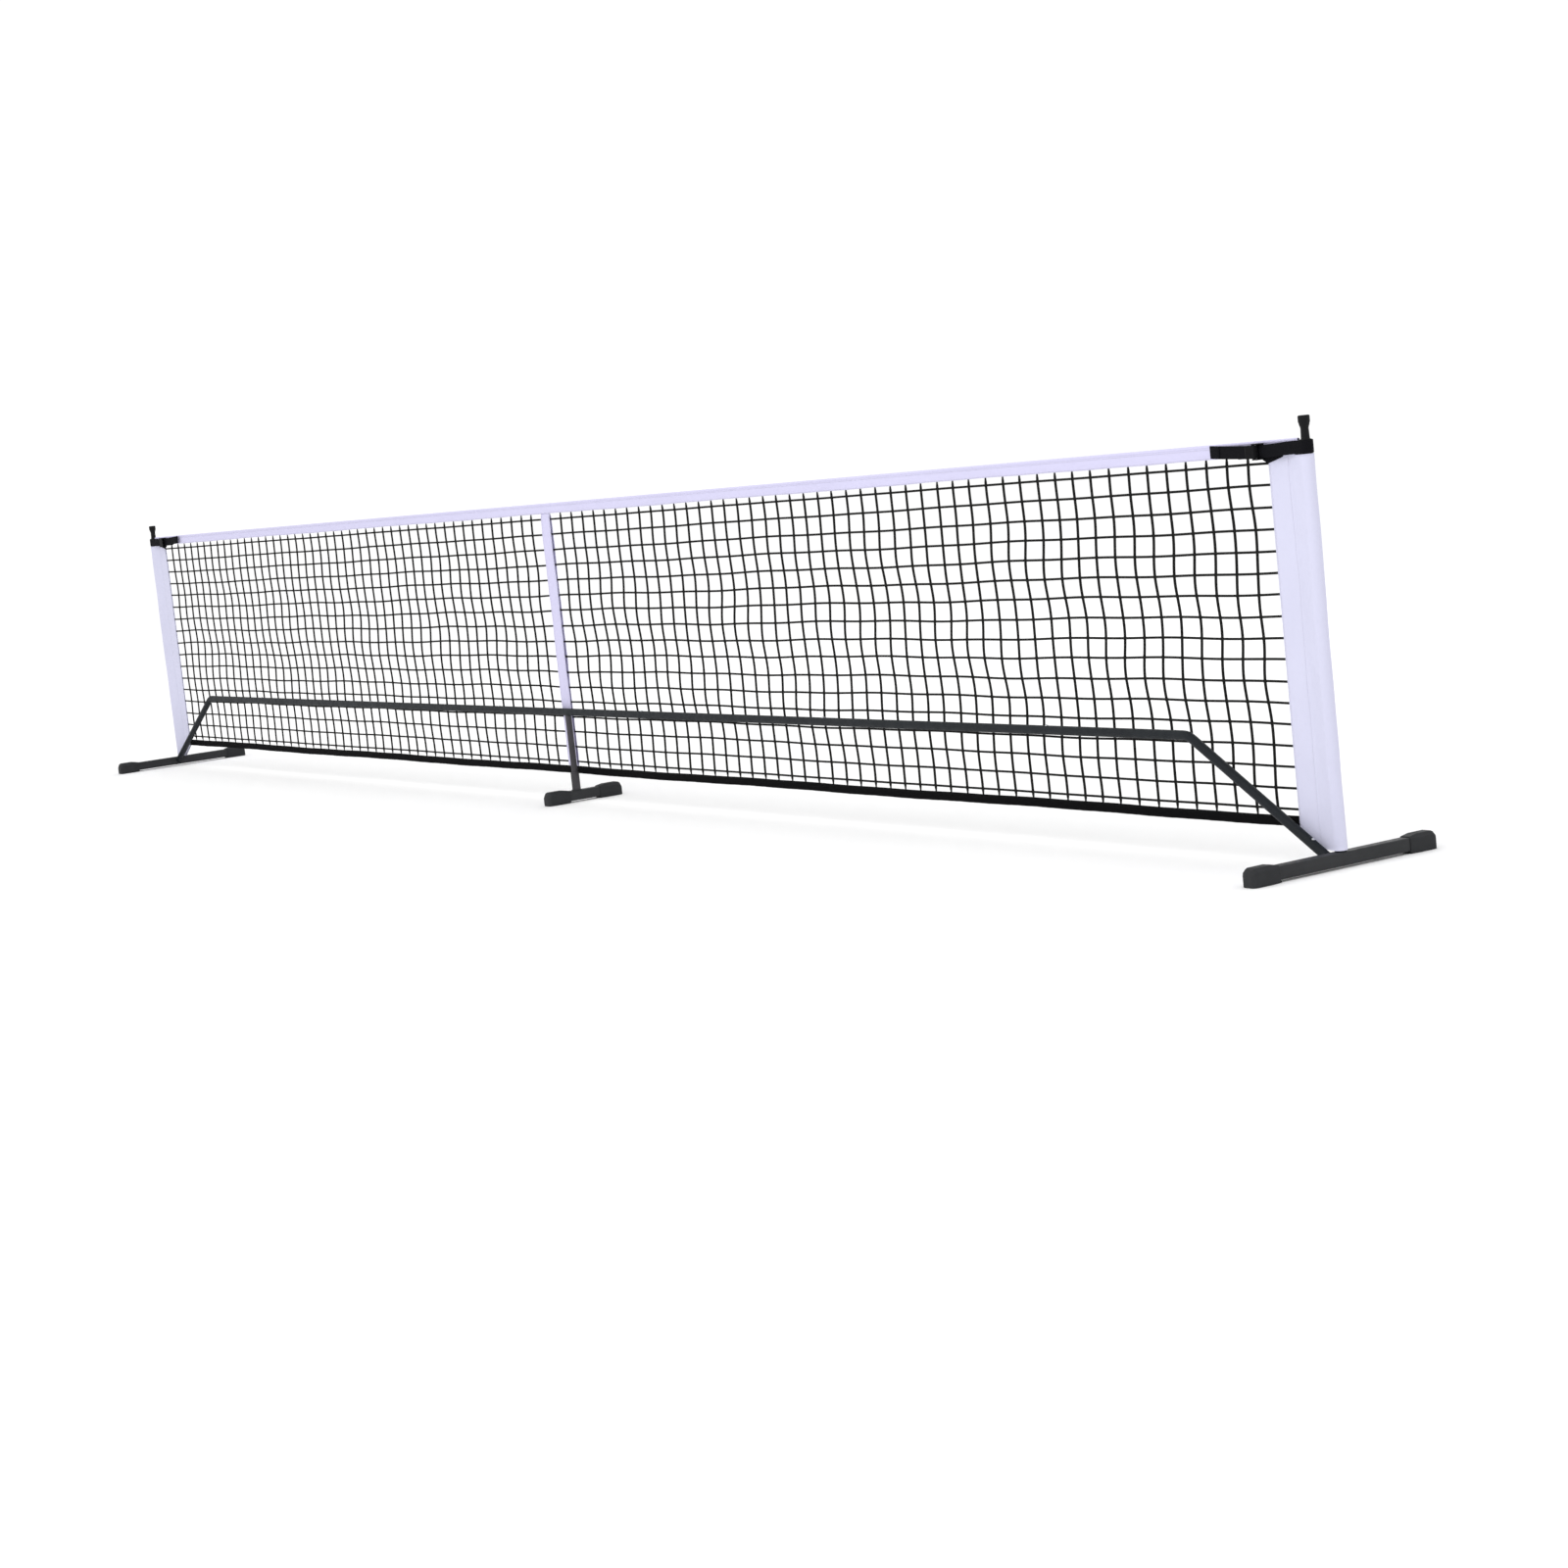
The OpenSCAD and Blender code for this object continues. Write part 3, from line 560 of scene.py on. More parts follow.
def coated_cloth(name, colour):
    """Vinyl-coated cloth: a plain weave under the coating, with a faint painted shade in its hollows, soft
    mottling and shallow creases.
    """
    thread = 1.5 * MM
    g = Graph(name, specular=0.25)
    along, across = g.lengths()
    weave = g.math("MULTIPLY", g.sine(along, thread), g.sine(across, thread))
    cloud = g.noise(g.place(), scale=5, detail=4)
    fleck = g.noise(g.place(), scale=90, detail=4)
    body = g.tones(g.span(cloud, 0.3, 0.7), colour, 0.975, 1.02)
    body = g.mix(g.span(fleck, 0.55, 0.8, 0, 0.35), body, shade(colour, 0.93))
    # Painted shade: the colour darkens a little where the weave's relief is lowest.
    g.colour(g.mix(g.span(weave, -1, 1, 0.1, 0), body, shade(colour, 0.86)))
    g.rough(g.span(fleck, 0.3, 0.7, 0.5, 0.64))
    creased = g.bump(g.noise(g.place(), scale=36, detail=3), 0.5 * MM, 0.5)
    g.bump(weave, 0.05 * MM, 0.6, creased)
    return g.material


def webbing(name, colour, rib=2.2 * MM):
    """Woven belt: slanted ribs that turn back and forth across it, with painted shade in their troughs and a
    painted highlight on their crests, and a matt, slightly fuzzy face.
    """
    g = Graph(name, specular=0.06)
    along, across = g.lengths()
    zigzag = g.math("PINGPONG", across, 3.5 * MM)
    ribs = g.sine(g.math("ADD", along, zigzag), rib)
    yarn = g.sine(across, 0.7 * MM)
    # Painted shade and highlight: the colour darkens in the ribs' troughs and lightens on their crests.
    body = g.tones(g.span(ribs, -1, 1), colour, 0.6, 1.25)
    fuzz = g.noise(g.place(), scale=700, detail=2)
    g.colour(g.mix(g.span(fuzz, 0.5, 0.8, 0, 0.4), body, shade(colour, 1.9)))
    g.rough(g.span(ribs, -1, 1, 0.85, 0.7))
    weave = g.bump(ribs, 0.25 * MM, 0.8)
    g.bump(yarn, 0.06 * MM, 0.5, weave)
    return g.material


def twine(name, colour, lay=7 * MM, girth=12 * MM):
    """Laid twine: three strands that wind round the string, with painted shade in the grooves between them
    and a painted highlight on their crests, and stray fibres.
    """
    g = Graph(name, specular=0.08)
    along, across = g.lengths()
    turn = g.math("ADD", g.math("MULTIPLY", along, 1 / lay), g.math("MULTIPLY", across, 3 / girth))
    strands = g.sine(turn, 1.0)
    # Painted shade and highlight: the colour darkens in the grooves between strands and lightens on their
    # crests.
    body = g.tones(g.span(strands, -1, 1), colour, 0.55, 1.3)
    fibres = g.noise(g.place(), scale=900, detail=2)
    g.colour(g.mix(g.span(fibres, 0.55, 0.8, 0, 0.5), body, shade(colour, 2.2)))
    g.rough(g.span(strands, -1, 1, 0.85, 0.65))
    g.bump(strands, 0.3 * MM, 0.8)
    return g.material


def braid(name, colour):
    """Braided cord: two families of slanted ribs that cross, with painted shade in the grooves between them.
    """
    pick = 2.4 * MM
    g = Graph(name, specular=0.25, sheen=0.1)
    slants = [
        g.add("TexWave", {"Vector": g.place(turn=turn), "Scale": 1 / pick}, bands_direction="DIAGONAL")
        for turn in ((0.6, 0.8, 0), (-0.6, -0.8, 0))
    ]
    ribs = g.math("MAXIMUM", *slants)
    # Painted shade: the colour darkens where the ribs' relief is lowest.
    g.colour(g.tones(ribs, colour, 0.7, 1.0))
    g.rough(g.span(ribs, 0, 1, 0.8, 0.6))
    g.bump(ribs, 0.2 * MM, 0.6)
    return g.material


FOOT_COAT = powder_coat("foot_powder_coat", (0.030, 0.031, 0.033))
BAR_COAT = powder_coat("bar_powder_coat", (0.010, 0.0125, 0.0155))
LEG_COAT = powder_coat("leg_powder_coat", (0.056, 0.053, 0.059))
RUBBER = moulded("shoe_rubber", (0.027, 0.028, 0.030), specular=0.12, rough=0.62, grain=900)
CAP_PLASTIC = moulded("cap_plastic", (0.005, 0.005, 0.006), specular=0.14, rough=0.5, grain=1400)
BUCKLE_PLASTIC = moulded("buckle_plastic", (0.0025, 0.0025, 0.0035), specular=0.08, rough=0.5, grain=1500)
ZINC = metal("zinc_plate", (0.62, 0.63, 0.65), rough=0.32, lines=900)
SPRING = metal("spring_steel", (0.46, 0.47, 0.50), rough=0.28, lines=1500)
WELD = powder_coat("weld_under_powder_coat", (0.030, 0.031, 0.034))
VINYL = coated_cloth("white_coated_vinyl", (0.605, 0.585, 0.785))
SLEEVE_VINYL = coated_cloth("sleeve_coated_vinyl", (0.605, 0.605, 0.755))
BLACK_TAPE = webbing("black_edge_tape", (0.002, 0.002, 0.0025), rib=1.6 * MM)
WEBBING = webbing("black_webbing", (0.0062, 0.0062, 0.0082))
TWINE = twine("black_twine", (0.010, 0.010, 0.0095))
CORD = braid("white_braided_cord", (0.72, 0.72, 0.70))
WHITE_THREAD = twine("white_thread", (0.66, 0.65, 0.78), lay=1.2 * MM, girth=2 * MM)
BLACK_THREAD = twine("black_thread", (0.020, 0.020, 0.024), lay=1.2 * MM, girth=2 * MM)


def paint(material, *nodes):
    """A carried-over CAD node's finish."""
    for node in nodes:
        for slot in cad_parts[node].material_slots:
            slot.material = material


# ---------------------------------------------------------------- netting

CELL_W = 68 * MM
ROWS = 17
FIRST_ROW, LAST_ROW = 14 * MM, 17 * MM
# How far the strings go on inside the cloth round the netting.
TUCK = 6 * MM
# Half of a string's or a knot's width in the plane of the net, and half of its depth across the net.
UPRIGHT_HALF, UPRIGHT_DEPTH = 3.3 * MM, 3.1 * MM
LEVEL_HALF, LEVEL_DEPTH = 2.8 * MM, 2.4 * MM
KNOT_HALF, KNOT_DEPTH = 5.0 * MM, 4.0 * MM
# The uprights lie this far behind the net's middle plane, and the levels this far in front of it.
LAYER = 0.4 * MM
# How far the uprights and the levels stray from even places, and by what angle the knots lean.
UPRIGHT_STRAY, LEVEL_STRAY, KNOT_LEAN = 0.9 * MM, 0.6 * MM, 0.35

# Terms of the sums of sines that move the net along itself, down and across: amount, k, l and phase.
SWAY = [(4.6 * MM, 0.31, 4.4, 0.10), (2.2 * MM, -0.9, 2.6, 0.35), (1.1 * MM, 2.3, 7.1, 0.62)]
DROOP = [(1.8 * MM, 0.9, 1.3, 0.20), (1.0 * MM, 2.7, -2.1, 0.55)]
BELLY = [(2.0 * MM, 0.45, 1.4, 0.75), (0.9 * MM, 1.9, 3.3, 0.15)]


def slack(x, z, x0, x1):
    """Where the net lets a point go: (x, y, z) shifts that fade out at the tapes, the one across the net
    also beside the sleeve and the middle tape."""
    t = np.clip((z - HEM_HIGH) / (TAPE_LOW - HEM_HIGH), 0, 1)
    free = np.sin(np.pi * t) ** 0.6
    loose = free * ease(np.minimum(x - x0, x1 - x), 0, 90 * MM)
    return np.stack([free * waves(x, z, SWAY), loose * waves(x, z, BELLY), free * waves(x, z, DROOP)], -1)


def between(start, end, gap):
    """Places from one edge to the other, a gap apart, with closer ones where a string goes into the cloth."""
    edge = np.array([-TUCK, -1 * MM, 4 * MM, 9 * MM])
    middle = np.linspace(start + 16 * MM, end - 16 * MM, int((end - start) / gap))
    return np.concatenate([start + edge, middle, end - edge[::-1]])


def strings(lines, side, half_side, half_depth, inside):
    """Eight-sided oval strings along lines [n][k][3], all with the same sideways axis, pressed flat where
    they are less than 10 mm inside the edge of the netting."""
    angle = circle(8)[:, None]
    depth = half_depth * (0.36 + 0.64 * ease(inside, 0, 10 * MM))[:, None, None]
    ring = np.array(side) * np.cos(angle) * half_side + np.array([0, 1, 0]) * np.sin(angle) * depth
    return [shell(line[:, None] + ring) for line in lines]


def knots(places, lean):
    """A knot at each place: an eight-sided pillow whose radius is (1 - t^2)^0.5 over its height, leaning
    by an angle in the plane of the net."""
    t = np.array([-0.85, -0.35, 0.35, 0.85])[:, None]
    angle = circle(8)
    r = np.sqrt(1 - t ** 2)
    pillow = shell(np.stack([
        r * np.cos(angle) * KNOT_HALF,
        r * np.sin(angle) * KNOT_DEPTH,
        t * KNOT_HALF + 0 * angle,
    ], -1))
    one, nil = np.ones_like(lean), np.zeros_like(lean)
    return copies(pillow, places, np.stack([
        np.stack([np.cos(lean), nil, np.sin(lean)], -1),
        np.stack([nil, one, nil], -1),
        np.stack([-np.sin(lean), nil, np.cos(lean)], -1),
    ], 1))


def netting(side, x0, x1):
    """One half of the net: upright and level strings, all moved by the same slack, and a knot where they
    cross."""
    columns = int(round((x1 - x0) / CELL_W))
    rng = np.random.default_rng(7 if side == "left" else 8)
    xs = x0 + (x1 - x0) * np.arange(1, columns) / columns + rng.normal(0, UPRIGHT_STRAY, columns - 1)
    zs = np.linspace(HEM_HIGH + FIRST_ROW, TAPE_LOW - LAST_ROW, ROWS) + rng.normal(0, LEVEL_STRAY, ROWS)

    z = between(HEM_HIGH, TAPE_LOW, 11 * MM)
    gx, gz = np.meshgrid(xs, z, indexing="ij")
    uprights = np.stack([gx, 0 * gx + LAYER, gz], -1) + slack(gx, gz, x0, x1)

    x = between(x0, x1, 17 * MM)
    gz, gx = np.meshgrid(zs, x, indexing="ij")
    levels = np.stack([gx, 0 * gx - LAYER, gz], -1) + slack(gx, gz, x0, x1) * np.array([0, 1, 1])

    gx, gz = np.meshgrid(xs, zs, indexing="ij")
    crossings = (np.stack([gx, 0 * gx, gz], -1) + slack(gx, gz, x0, x1)).reshape(-1, 3)

    parts = strings(uprights, (1, 0, 0), UPRIGHT_HALF, UPRIGHT_DEPTH, np.minimum(z - HEM_HIGH, TAPE_LOW - z))
    parts += strings(levels, (0, 0, 1), LEVEL_HALF, LEVEL_DEPTH, np.minimum(x - x0, x1 - x))
    parts.append(knots(crossings, rng.normal(0, KNOT_LEAN, len(crossings))))
    piece = make_piece("netting_" + side, parts, TWINE)
    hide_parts("net_mesh")


# ---------------------------------------------------------------- tapes along the net

CLOTH = 1.0 * MM  # thickness of every tape and sleeve
# Where the strap is sewn to the back of the top tape, and the anchor strap to its front, from the post.
BACK_SEWN = (-135 * MM, -95 * MM)
FRONT_SEWN = (ANCHOR_X, ANCHOR_X + 40 * MM)

# Sums of sines: how the cloth puffs and puckers off its middle line, and how its edge wanders in height.
TAPE_PUFF = [(0.55 * MM, 5.3, 4, 0.1), (0.45 * MM, 11.9, -9, 0.4), (0.3 * MM, 23.7, 12, 0.7)]
TAPE_PUCKER = [(0.16 * MM, 41, 60, 0.2), (0.12 * MM, 67, -40, 0.5)]
TAPE_WANDER = [(0.7 * MM, 0.9, 0, 0.3), (0.35 * MM, 4.1, 0, 0.1)]
HEM_PUCKER = [(0.15 * MM, 13, 30, 0.2), (0.1 * MM, 37, -50, 0.6)]
HEM_WANDER = [(1.0 * MM, 0.8, 0, 0.4), (0.4 * MM, 3.1, 0, 0.2)]
CENTRE_RIPPLE = [(0.7 * MM, 3, 2.7, 0.1), (0.4 * MM, 11, 6.1, 0.5), (0.2 * MM, 21, 17, 0.3)]


def fold_outline(flat_edge, round_edge, radius, gap, count=10):
    """The middle line, in y and z, of cloth folded over a cord: up the front from the flat edge to a neck
    1.9 radii from the cord, round the cord by 0.78 of a half turn each way, and down the back."""
    up = np.sign(round_edge - flat_edge)
    centre = round_edge - up * radius
    neck = centre - up * radius * 1.9
    front = np.stack([np.full(count, -gap), np.linspace(flat_edge, neck, count)], -1)
    angle = np.linspace(0.78 * np.pi, -0.78 * np.pi, 19)
    bend = np.stack([-radius * np.sin(angle), centre + up * radius * np.cos(angle)], -1)
    return np.concatenate([front, bend, front[::-1] * np.array([-1, 1])])


def band_along(x, outline):
    """Cloth along the net over an outline in y and z that starts on the front: its middle surface, its
    outward normals and the lengths along the outline."""
    mid = np.zeros((len(x), len(outline), 3))
    mid[:, :, 0] = x[:, None]
    mid[:, :, 1:] = outline
    normal = right_of(outline)
    out = np.zeros_like(mid)
    out[:, :, 1:] = -np.sign(normal[0, 0]) * normal
    return mid, out, run_along(outline)


def top_tape():
    """White cloth folded over the top cord. Its two faces puff between their rows of stitching by a sum
    of sines, and lie flat where the straps are sewn to them."""
    x = np.linspace(-TAPE_END, TAPE_END, 900)
    outline = fold_outline(TAPE_LOW, TAPE_HIGH - CLOTH / 2, high("top_tape")[1] - CLOTH / 2, 1.9 * MM)
    mid, out, run = band_along(x, outline)
    behind = run > run[-1] / 2
    s = np.minimum(run, run[-1] - run)
    window = np.sin(np.pi * np.clip((s - 3 * MM) / (TAPE_HIGH - TAPE_LOW - 14 * MM), 0, 1))
    gx, gs = np.meshgrid(x, s, indexing="ij")
    shifted = gx + 0.37 * behind
    puff = waves(shifted, gs, TAPE_PUFF)
    pucker = waves(shifted, gs, TAPE_PUCKER)
    lift = window * (0.5 * MM + puff) + pucker * (1 - 0.5 * window)
    for sewn, face in ((BACK_SEWN, behind), (FRONT_SEWN, ~behind)):
        reach = np.abs(gx) - POST_X
        begun = ease(reach, sewn[0] - 25 * MM, sewn[0] - 3 * MM)
        ended = ease(reach, sewn[1] + 3 * MM, sewn[1] + 25 * MM)
        pressed = begun * (1 - ended) * face * np.clip(window * 3, 0, 1)
        lift = lift * (1 - pressed) - 0.4 * MM * pressed
    mid[:, :, 2] += waves(gx, 0 * gx, TAPE_WANDER) * ease(20 * MM - gs, 0, 20 * MM)
    piece = make_piece("top_tape_cloth", [cloth(mid, out, lift, CLOTH)], VINYL)
    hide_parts("top_tape")
    on = thread_lines(mid, out, lift, CLOTH)
    last = len(outline) - 1
    threads = [
        make_piece("top_tape_stitching_" + name, [stitch_row(on[:, k], out[:, k]) for k in rows],
                   WHITE_THREAD)
        for name, rows in (("front", (1, 9)), ("back", (last - 1, last - 9)))
    ]


def bottom_tape():
    """Black tape folded over the bottom cord, in one run under the netting and the middle tape. Its edge
    wanders up and down by a sum of sines."""
    x = np.linspace(-SLEEVE_EDGE, SLEEVE_EDGE, 840)
    outline = fold_outline(HEM_HIGH, NET_LOW + CLOTH / 2, high("bottom_tape")[1] - CLOTH / 2, 1.7 * MM, 6)
    mid, out, run = band_along(x, outline)
    gx, gs = np.meshgrid(x, run, indexing="ij")
    lift = waves(gx, gs, HEM_PUCKER) - 0.15 * MM
    mid[:, :, 2] += waves(gx, 0 * gx, HEM_WANDER)
    piece = make_piece("bottom_tape_cloth", [cloth(mid, out, lift, CLOTH)], BLACK_TAPE)
    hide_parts("bottom_tape")
    on = thread_lines(mid, out, lift, CLOTH)
    rows = [stitch_row(on[:, k], out[:, k], thick=0.35 * MM) for k in (1, len(outline) - 2)]
    thread = make_piece("bottom_tape_stitching", rows, BLACK_THREAD)


def centre_tape():
    """White tape up both faces of the net, its ends tucked into the top tape and the bottom one. The two
    faces stand 2.9 mm off the net's middle, close in to a fold inside the bottom tape, and ripple by a sum
    of sines between."""
    x = np.linspace(CENTRE_LEFT, CENTRE_RIGHT, 25)
    fold_r, stand = 0.7 * MM, 2.9 * MM
    base = HEM_HIGH - 6 * MM
    z = np.concatenate([
        np.linspace(TAPE_LOW + 4 * MM, HEM_HIGH + 8 * MM, 110),
        np.linspace(HEM_HIGH + 7 * MM, base, 12),
    ])
    over_hem = ease(z, HEM_HIGH - 1 * MM, HEM_HIGH + 8 * MM)
    under_tape = ease(-z, 1 * MM - TAPE_LOW, 9 * MM - TAPE_LOW)
    front = np.stack([-fold_r - (stand - fold_r) * over_hem * under_tape, z], -1)
    angle = np.linspace(np.pi, 2 * np.pi, 9)[1:-1]
    fold = np.stack([fold_r * np.cos(angle), base + fold_r * np.sin(angle)], -1)
    outline = np.concatenate([front, fold, front[::-1] * np.array([-1, 1])])
    mid, out, run = band_along(x, outline)
    gx, gs = np.meshgrid(x, run, indexing="ij")
    gz = mid[:, :, 2]
    away = ease(gz, HEM_HIGH + 4 * MM, HEM_HIGH + 60 * MM) * ease(-gz, 4 * MM - TAPE_LOW, 60 * MM - TAPE_LOW)
    lift = away * (0.5 * MM + waves(gx, gs, CENTRE_RIPPLE))
    piece = make_piece("centre_tape_cloth", [cloth(mid, out, lift, CLOTH)], VINYL)
    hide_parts("centre_tape")
    on = thread_lines(mid, out, lift, CLOTH)
    clear = outline[:, 1] > HEM_HIGH + 2 * MM
    faces = (clear & (run < run[-1] / 2), clear & (run > run[-1] / 2))
    rows = [stitch_row(on[k][face], out[k][face]) for k in (2, len(x) - 3) for face in faces]
    thread = make_piece("centre_tape_stitching", rows, WHITE_THREAD)


# ---------------------------------------------------------------- sleeves

# The seam's distance from the post, half the gap between the flat faces, and the pocket's middle radius.
SEAM = 52 * MM
FLAT_GAP = 1.6 * MM
POCKET_R = high("side_sleeve_right")[1] - CLOTH / 2

FLAT_SWAY = [(1.5 * MM, 5.2, 1.3, 0.1), (0.9 * MM, 9.0, -2.9, 0.4), (0.5 * MM, 3.0, 7.0, 0.8)]
POCKET_PUFF = [(0.9 * MM, 13, 1.1, 0.2), (0.6 * MM, 7, -3.1, 0.6), (0.35 * MM, 19, 6.3, 0.9)]


def sleeve_outline(width):
    """The middle line of a sleeve in x and y about its post: along the front from the inner edge to the
    seam, straight on to touch the pocket's circle, round it, and back the same way."""
    edge = np.stack([np.linspace(-width, -SEAM, 16, endpoint=False), np.full(16, -FLAT_GAP)], -1)
    reach = math.hypot(SEAM, FLAT_GAP)
    touch = -math.pi + math.atan2(FLAT_GAP, SEAM) + math.acos(POCKET_R / reach)
    angle = np.linspace(touch, -touch, 41)
    pocket = POCKET_R * np.stack([np.cos(angle), np.sin(angle)], -1)
    line = np.linspace([-SEAM, -FLAT_GAP], pocket[0], 14, endpoint=False)
    front = np.concatenate([edge, line])
    return np.concatenate([front, pocket, front[::-1] * np.array([1, -1])])


def sleeve(side):
    """White cloth closed round the post. Its flat part sways as one and its pocket stands a little off the
    post, each by a sum of sines, with a dip along the seam: exp(-(x / 5 mm)^2). Its lower edge drops from
    the net's edge to the post's foot."""
    sign = SIDES[side]
    width = POST_X - SLEEVE_EDGE
    outline = sleeve_outline(width)
    run = run_along(outline)
    x = outline[:, 0]
    bottom = SLEEVE_LOW + (NET_LOW - SLEEVE_LOW) * np.clip((-x - SEAM) / (width - SEAM), 0, 1)
    top = TAPE_LOW - 1 * MM + (STRAP_LOW - TAPE_LOW + 2 * MM) * ease(x, -32 * MM, -22 * MM)
    t = np.linspace(0, 1, 120)[:, None]
    mid, out = upright_sheet(outline, bottom + (top - bottom) * t)
    z, gx = mid[:, :, 2], np.broadcast_to(x, mid.shape[:2])
    # The two sleeves take their waves from different heights.
    height = z + 0.13 * sign

    flat = 1 - ease(gx, -SEAM - 10 * MM, -SEAM + 12 * MM)
    inner = ease(gx, -width, -width + 22 * MM)
    ends = ease(z, SLEEVE_LOW, SLEEVE_LOW + 100 * MM)
    ends = ends * (0.35 + 0.65 * ease(-z, -TAPE_LOW, 50 * MM - TAPE_LOW))
    face = np.where(run < run[-1] / 2, 1.0, -1.0)
    sway = face * waves(gx, height, FLAT_SWAY) * flat * inner * ends

    around = np.broadcast_to(run, gx.shape)
    above_hem = 0.35 + 0.65 * ease(z, SLEEVE_LOW + 30 * MM, SLEEVE_LOW + 140 * MM)
    loose = (1 - flat) * (0.3 * MM + 0.6 * waves(around, height, POCKET_PUFF)) * above_hem
    dip = 0.9 * np.exp(-((gx + SEAM) / (5 * MM)) ** 2)
    lift = sway + loose * (1 - dip)

    mid[:, :, 0] += POST_X
    mirror = np.array([sign, 1, 1])
    mid, out = mid * mirror, out * mirror
    piece = make_piece("sleeve_cloth_" + side, [cloth(mid, out, lift, CLOTH)], SLEEVE_VINYL)
    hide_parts("side_sleeve_" + side)
    on = thread_lines(mid, out, lift, CLOTH)
    last = len(outline) - 1
    rows = [stitch_row(on[:, k], out[:, k]) for k in (1, 15, last - 1, last - 15)]
    thread = make_piece("sleeve_stitching_" + side, rows, WHITE_THREAD)


# ---------------------------------------------------------------- straps at the top corners

# Thickness of the webbing, and the radius of the strap's middle line round the collar.
WEB = 1.5 * MM
STRAP_R = high("strap_right")[1] - 0.8 * MM
# Thickness of the corner patch, and how far its middle stands in front of the net's.
PATCH_CLOTH, PATCH_STAND = 0.9 * MM, 2.9 * MM
PATCH_RIPPLE = [(0.25 * MM, 17, 21, 0.2), (0.15 * MM, 41, -30, 0.6)]
# Length, gap and thickness of the threads in the straps and in the corner patch.
STRAP_STITCH = (2.2 * MM, 3.2 * MM, 0.38 * MM)
PATCH_STITCH = (2.6 * MM, 3.8 * MM, 0.38 * MM)


def ribbon(path, z0, z1, rise=0.0):
    """Webbing stood on edge along a path [s][2] in x and y: flat across its width, thinner at its two
    selvedges by 0.7 of the 24th power of the way from its middle, and lifted by rise along the path."""
    a = np.array([0, 0.012, 0.04, 0.1, 0.25, 0.5, 0.75, 0.9, 0.96, 0.988, 1.0])[:, None]
    mid, out = upright_sheet(path, z0 + (z1 - z0) * a + rise)
    thickness = WEB * (1 - 0.7 * np.abs(2 * a - 1) ** 24)
    return cloth(mid, out, np.zeros(mid.shape[:2]), thickness)


def box_stitch(start_x, length, y, out_y):
    """A box of stitches with its two diagonals, on the flat face of a strap and 3 mm inside its edges."""
    inset = 3 * MM
    x0, x1 = start_x + inset, start_x + length - inset
    z0, z1 = STRAP_LOW + inset, STRAP_HIGH - inset
    lines = [
        ((x0, z0), (x1, z0)), ((x1, z0), (x1, z1)), ((x1, z1), (x0, z1)), ((x0, z1), (x0, z0)),
        ((x0, z0), (x1, z1)), ((x0, z1), (x1, z0)),
    ]
    normal = np.tile([0, out_y, 0], (20, 1))
    return [stitch_row(np.linspace([ax, y, az], [bx, y, bz], 20), normal, *STRAP_STITCH)
            for (ax, az), (bx, bz) in lines]


def strap(side):
    """The strap from the back of the tape, round the cap's collar, along the front, through the buckle
    and on as a loose tail with a turned end. The tail lifts and swings out by powers of its length."""
    sign = SIDES[side]
    y, rest = STRAP_R, 3.0 * MM
    sewn_far, sewn_near = BACK_SEWN
    free_x = BUCKLE_X - 19 * MM
    tail = np.linspace([TAIL_X, -y], [free_x, -y], 50, endpoint=False)
    wander = (tail[:, 0] - free_x) / (TAIL_X - free_x)
    tail[:, 1] += wander ** 1.5 * 2.5 * MM + 1.4 * MM * np.sin(wander * 7) * wander
    run_in = np.linspace([free_x, -y], [0, -y], 60, endpoint=False)
    angle = np.linspace(-np.pi / 2, np.pi / 2, 49)
    bend = y * np.stack([np.cos(angle), np.sin(angle)], -1)
    back = smooth_line([
        [0, y], [-30 * MM, y - 1.8 * MM], [-70 * MM, 6.4 * MM], [sewn_near, rest + 0.4 * MM],
        [sewn_near - 10 * MM, rest], [sewn_far, rest],
    ], 12)[1:]
    path = np.concatenate([tail, run_in, bend, back])
    out_along = np.clip((free_x - 8 * MM - path[:, 0]) / (free_x - TAIL_X), 0, 1)
    rise = 7 * MM * out_along ** 1.3 * (path[:, 1] < 0)
    rise = rise + 2.5 * MM * ease(path[:, 0], BUCKLE_X + 20 * MM, -20 * MM)
    path[:, 0] += POST_X
    hem_points = np.arange(0, 15, 3)
    hem_path, hem_rise = path[hem_points] - np.array([0, WEB]), rise[hem_points]
    hem = ribbon(hem_path, STRAP_LOW + 0.2 * MM, STRAP_HIGH - 0.2 * MM, hem_rise)
    skins = mirrored([ribbon(path, STRAP_LOW, STRAP_HIGH, rise), hem], sign)
    piece = make_piece("strap_webbing_" + side, skins, WEBBING)
    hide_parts("strap_" + side)
    rows = box_stitch(POST_X + sewn_far, sewn_near - sewn_far, rest + WEB / 2, 1)
    for from_end in (4 * MM, 20 * MM):
        x = hem_path[0, 0] + from_end
        face_y = np.interp(x, hem_path[:, 0], hem_path[:, 1]) - WEB / 2
        up = np.interp(x, path[:15, 0], rise[:15])
        across = np.linspace([x, face_y, STRAP_LOW + 2 * MM + up], [x, face_y, STRAP_HIGH - 2 * MM + up], 12)
        rows.append(stitch_row(across, np.tile([0, -1, 0], (12, 1)), *STRAP_STITCH))
    thread = make_piece("strap_stitching_" + side, mirrored(rows, sign), BLACK_THREAD)


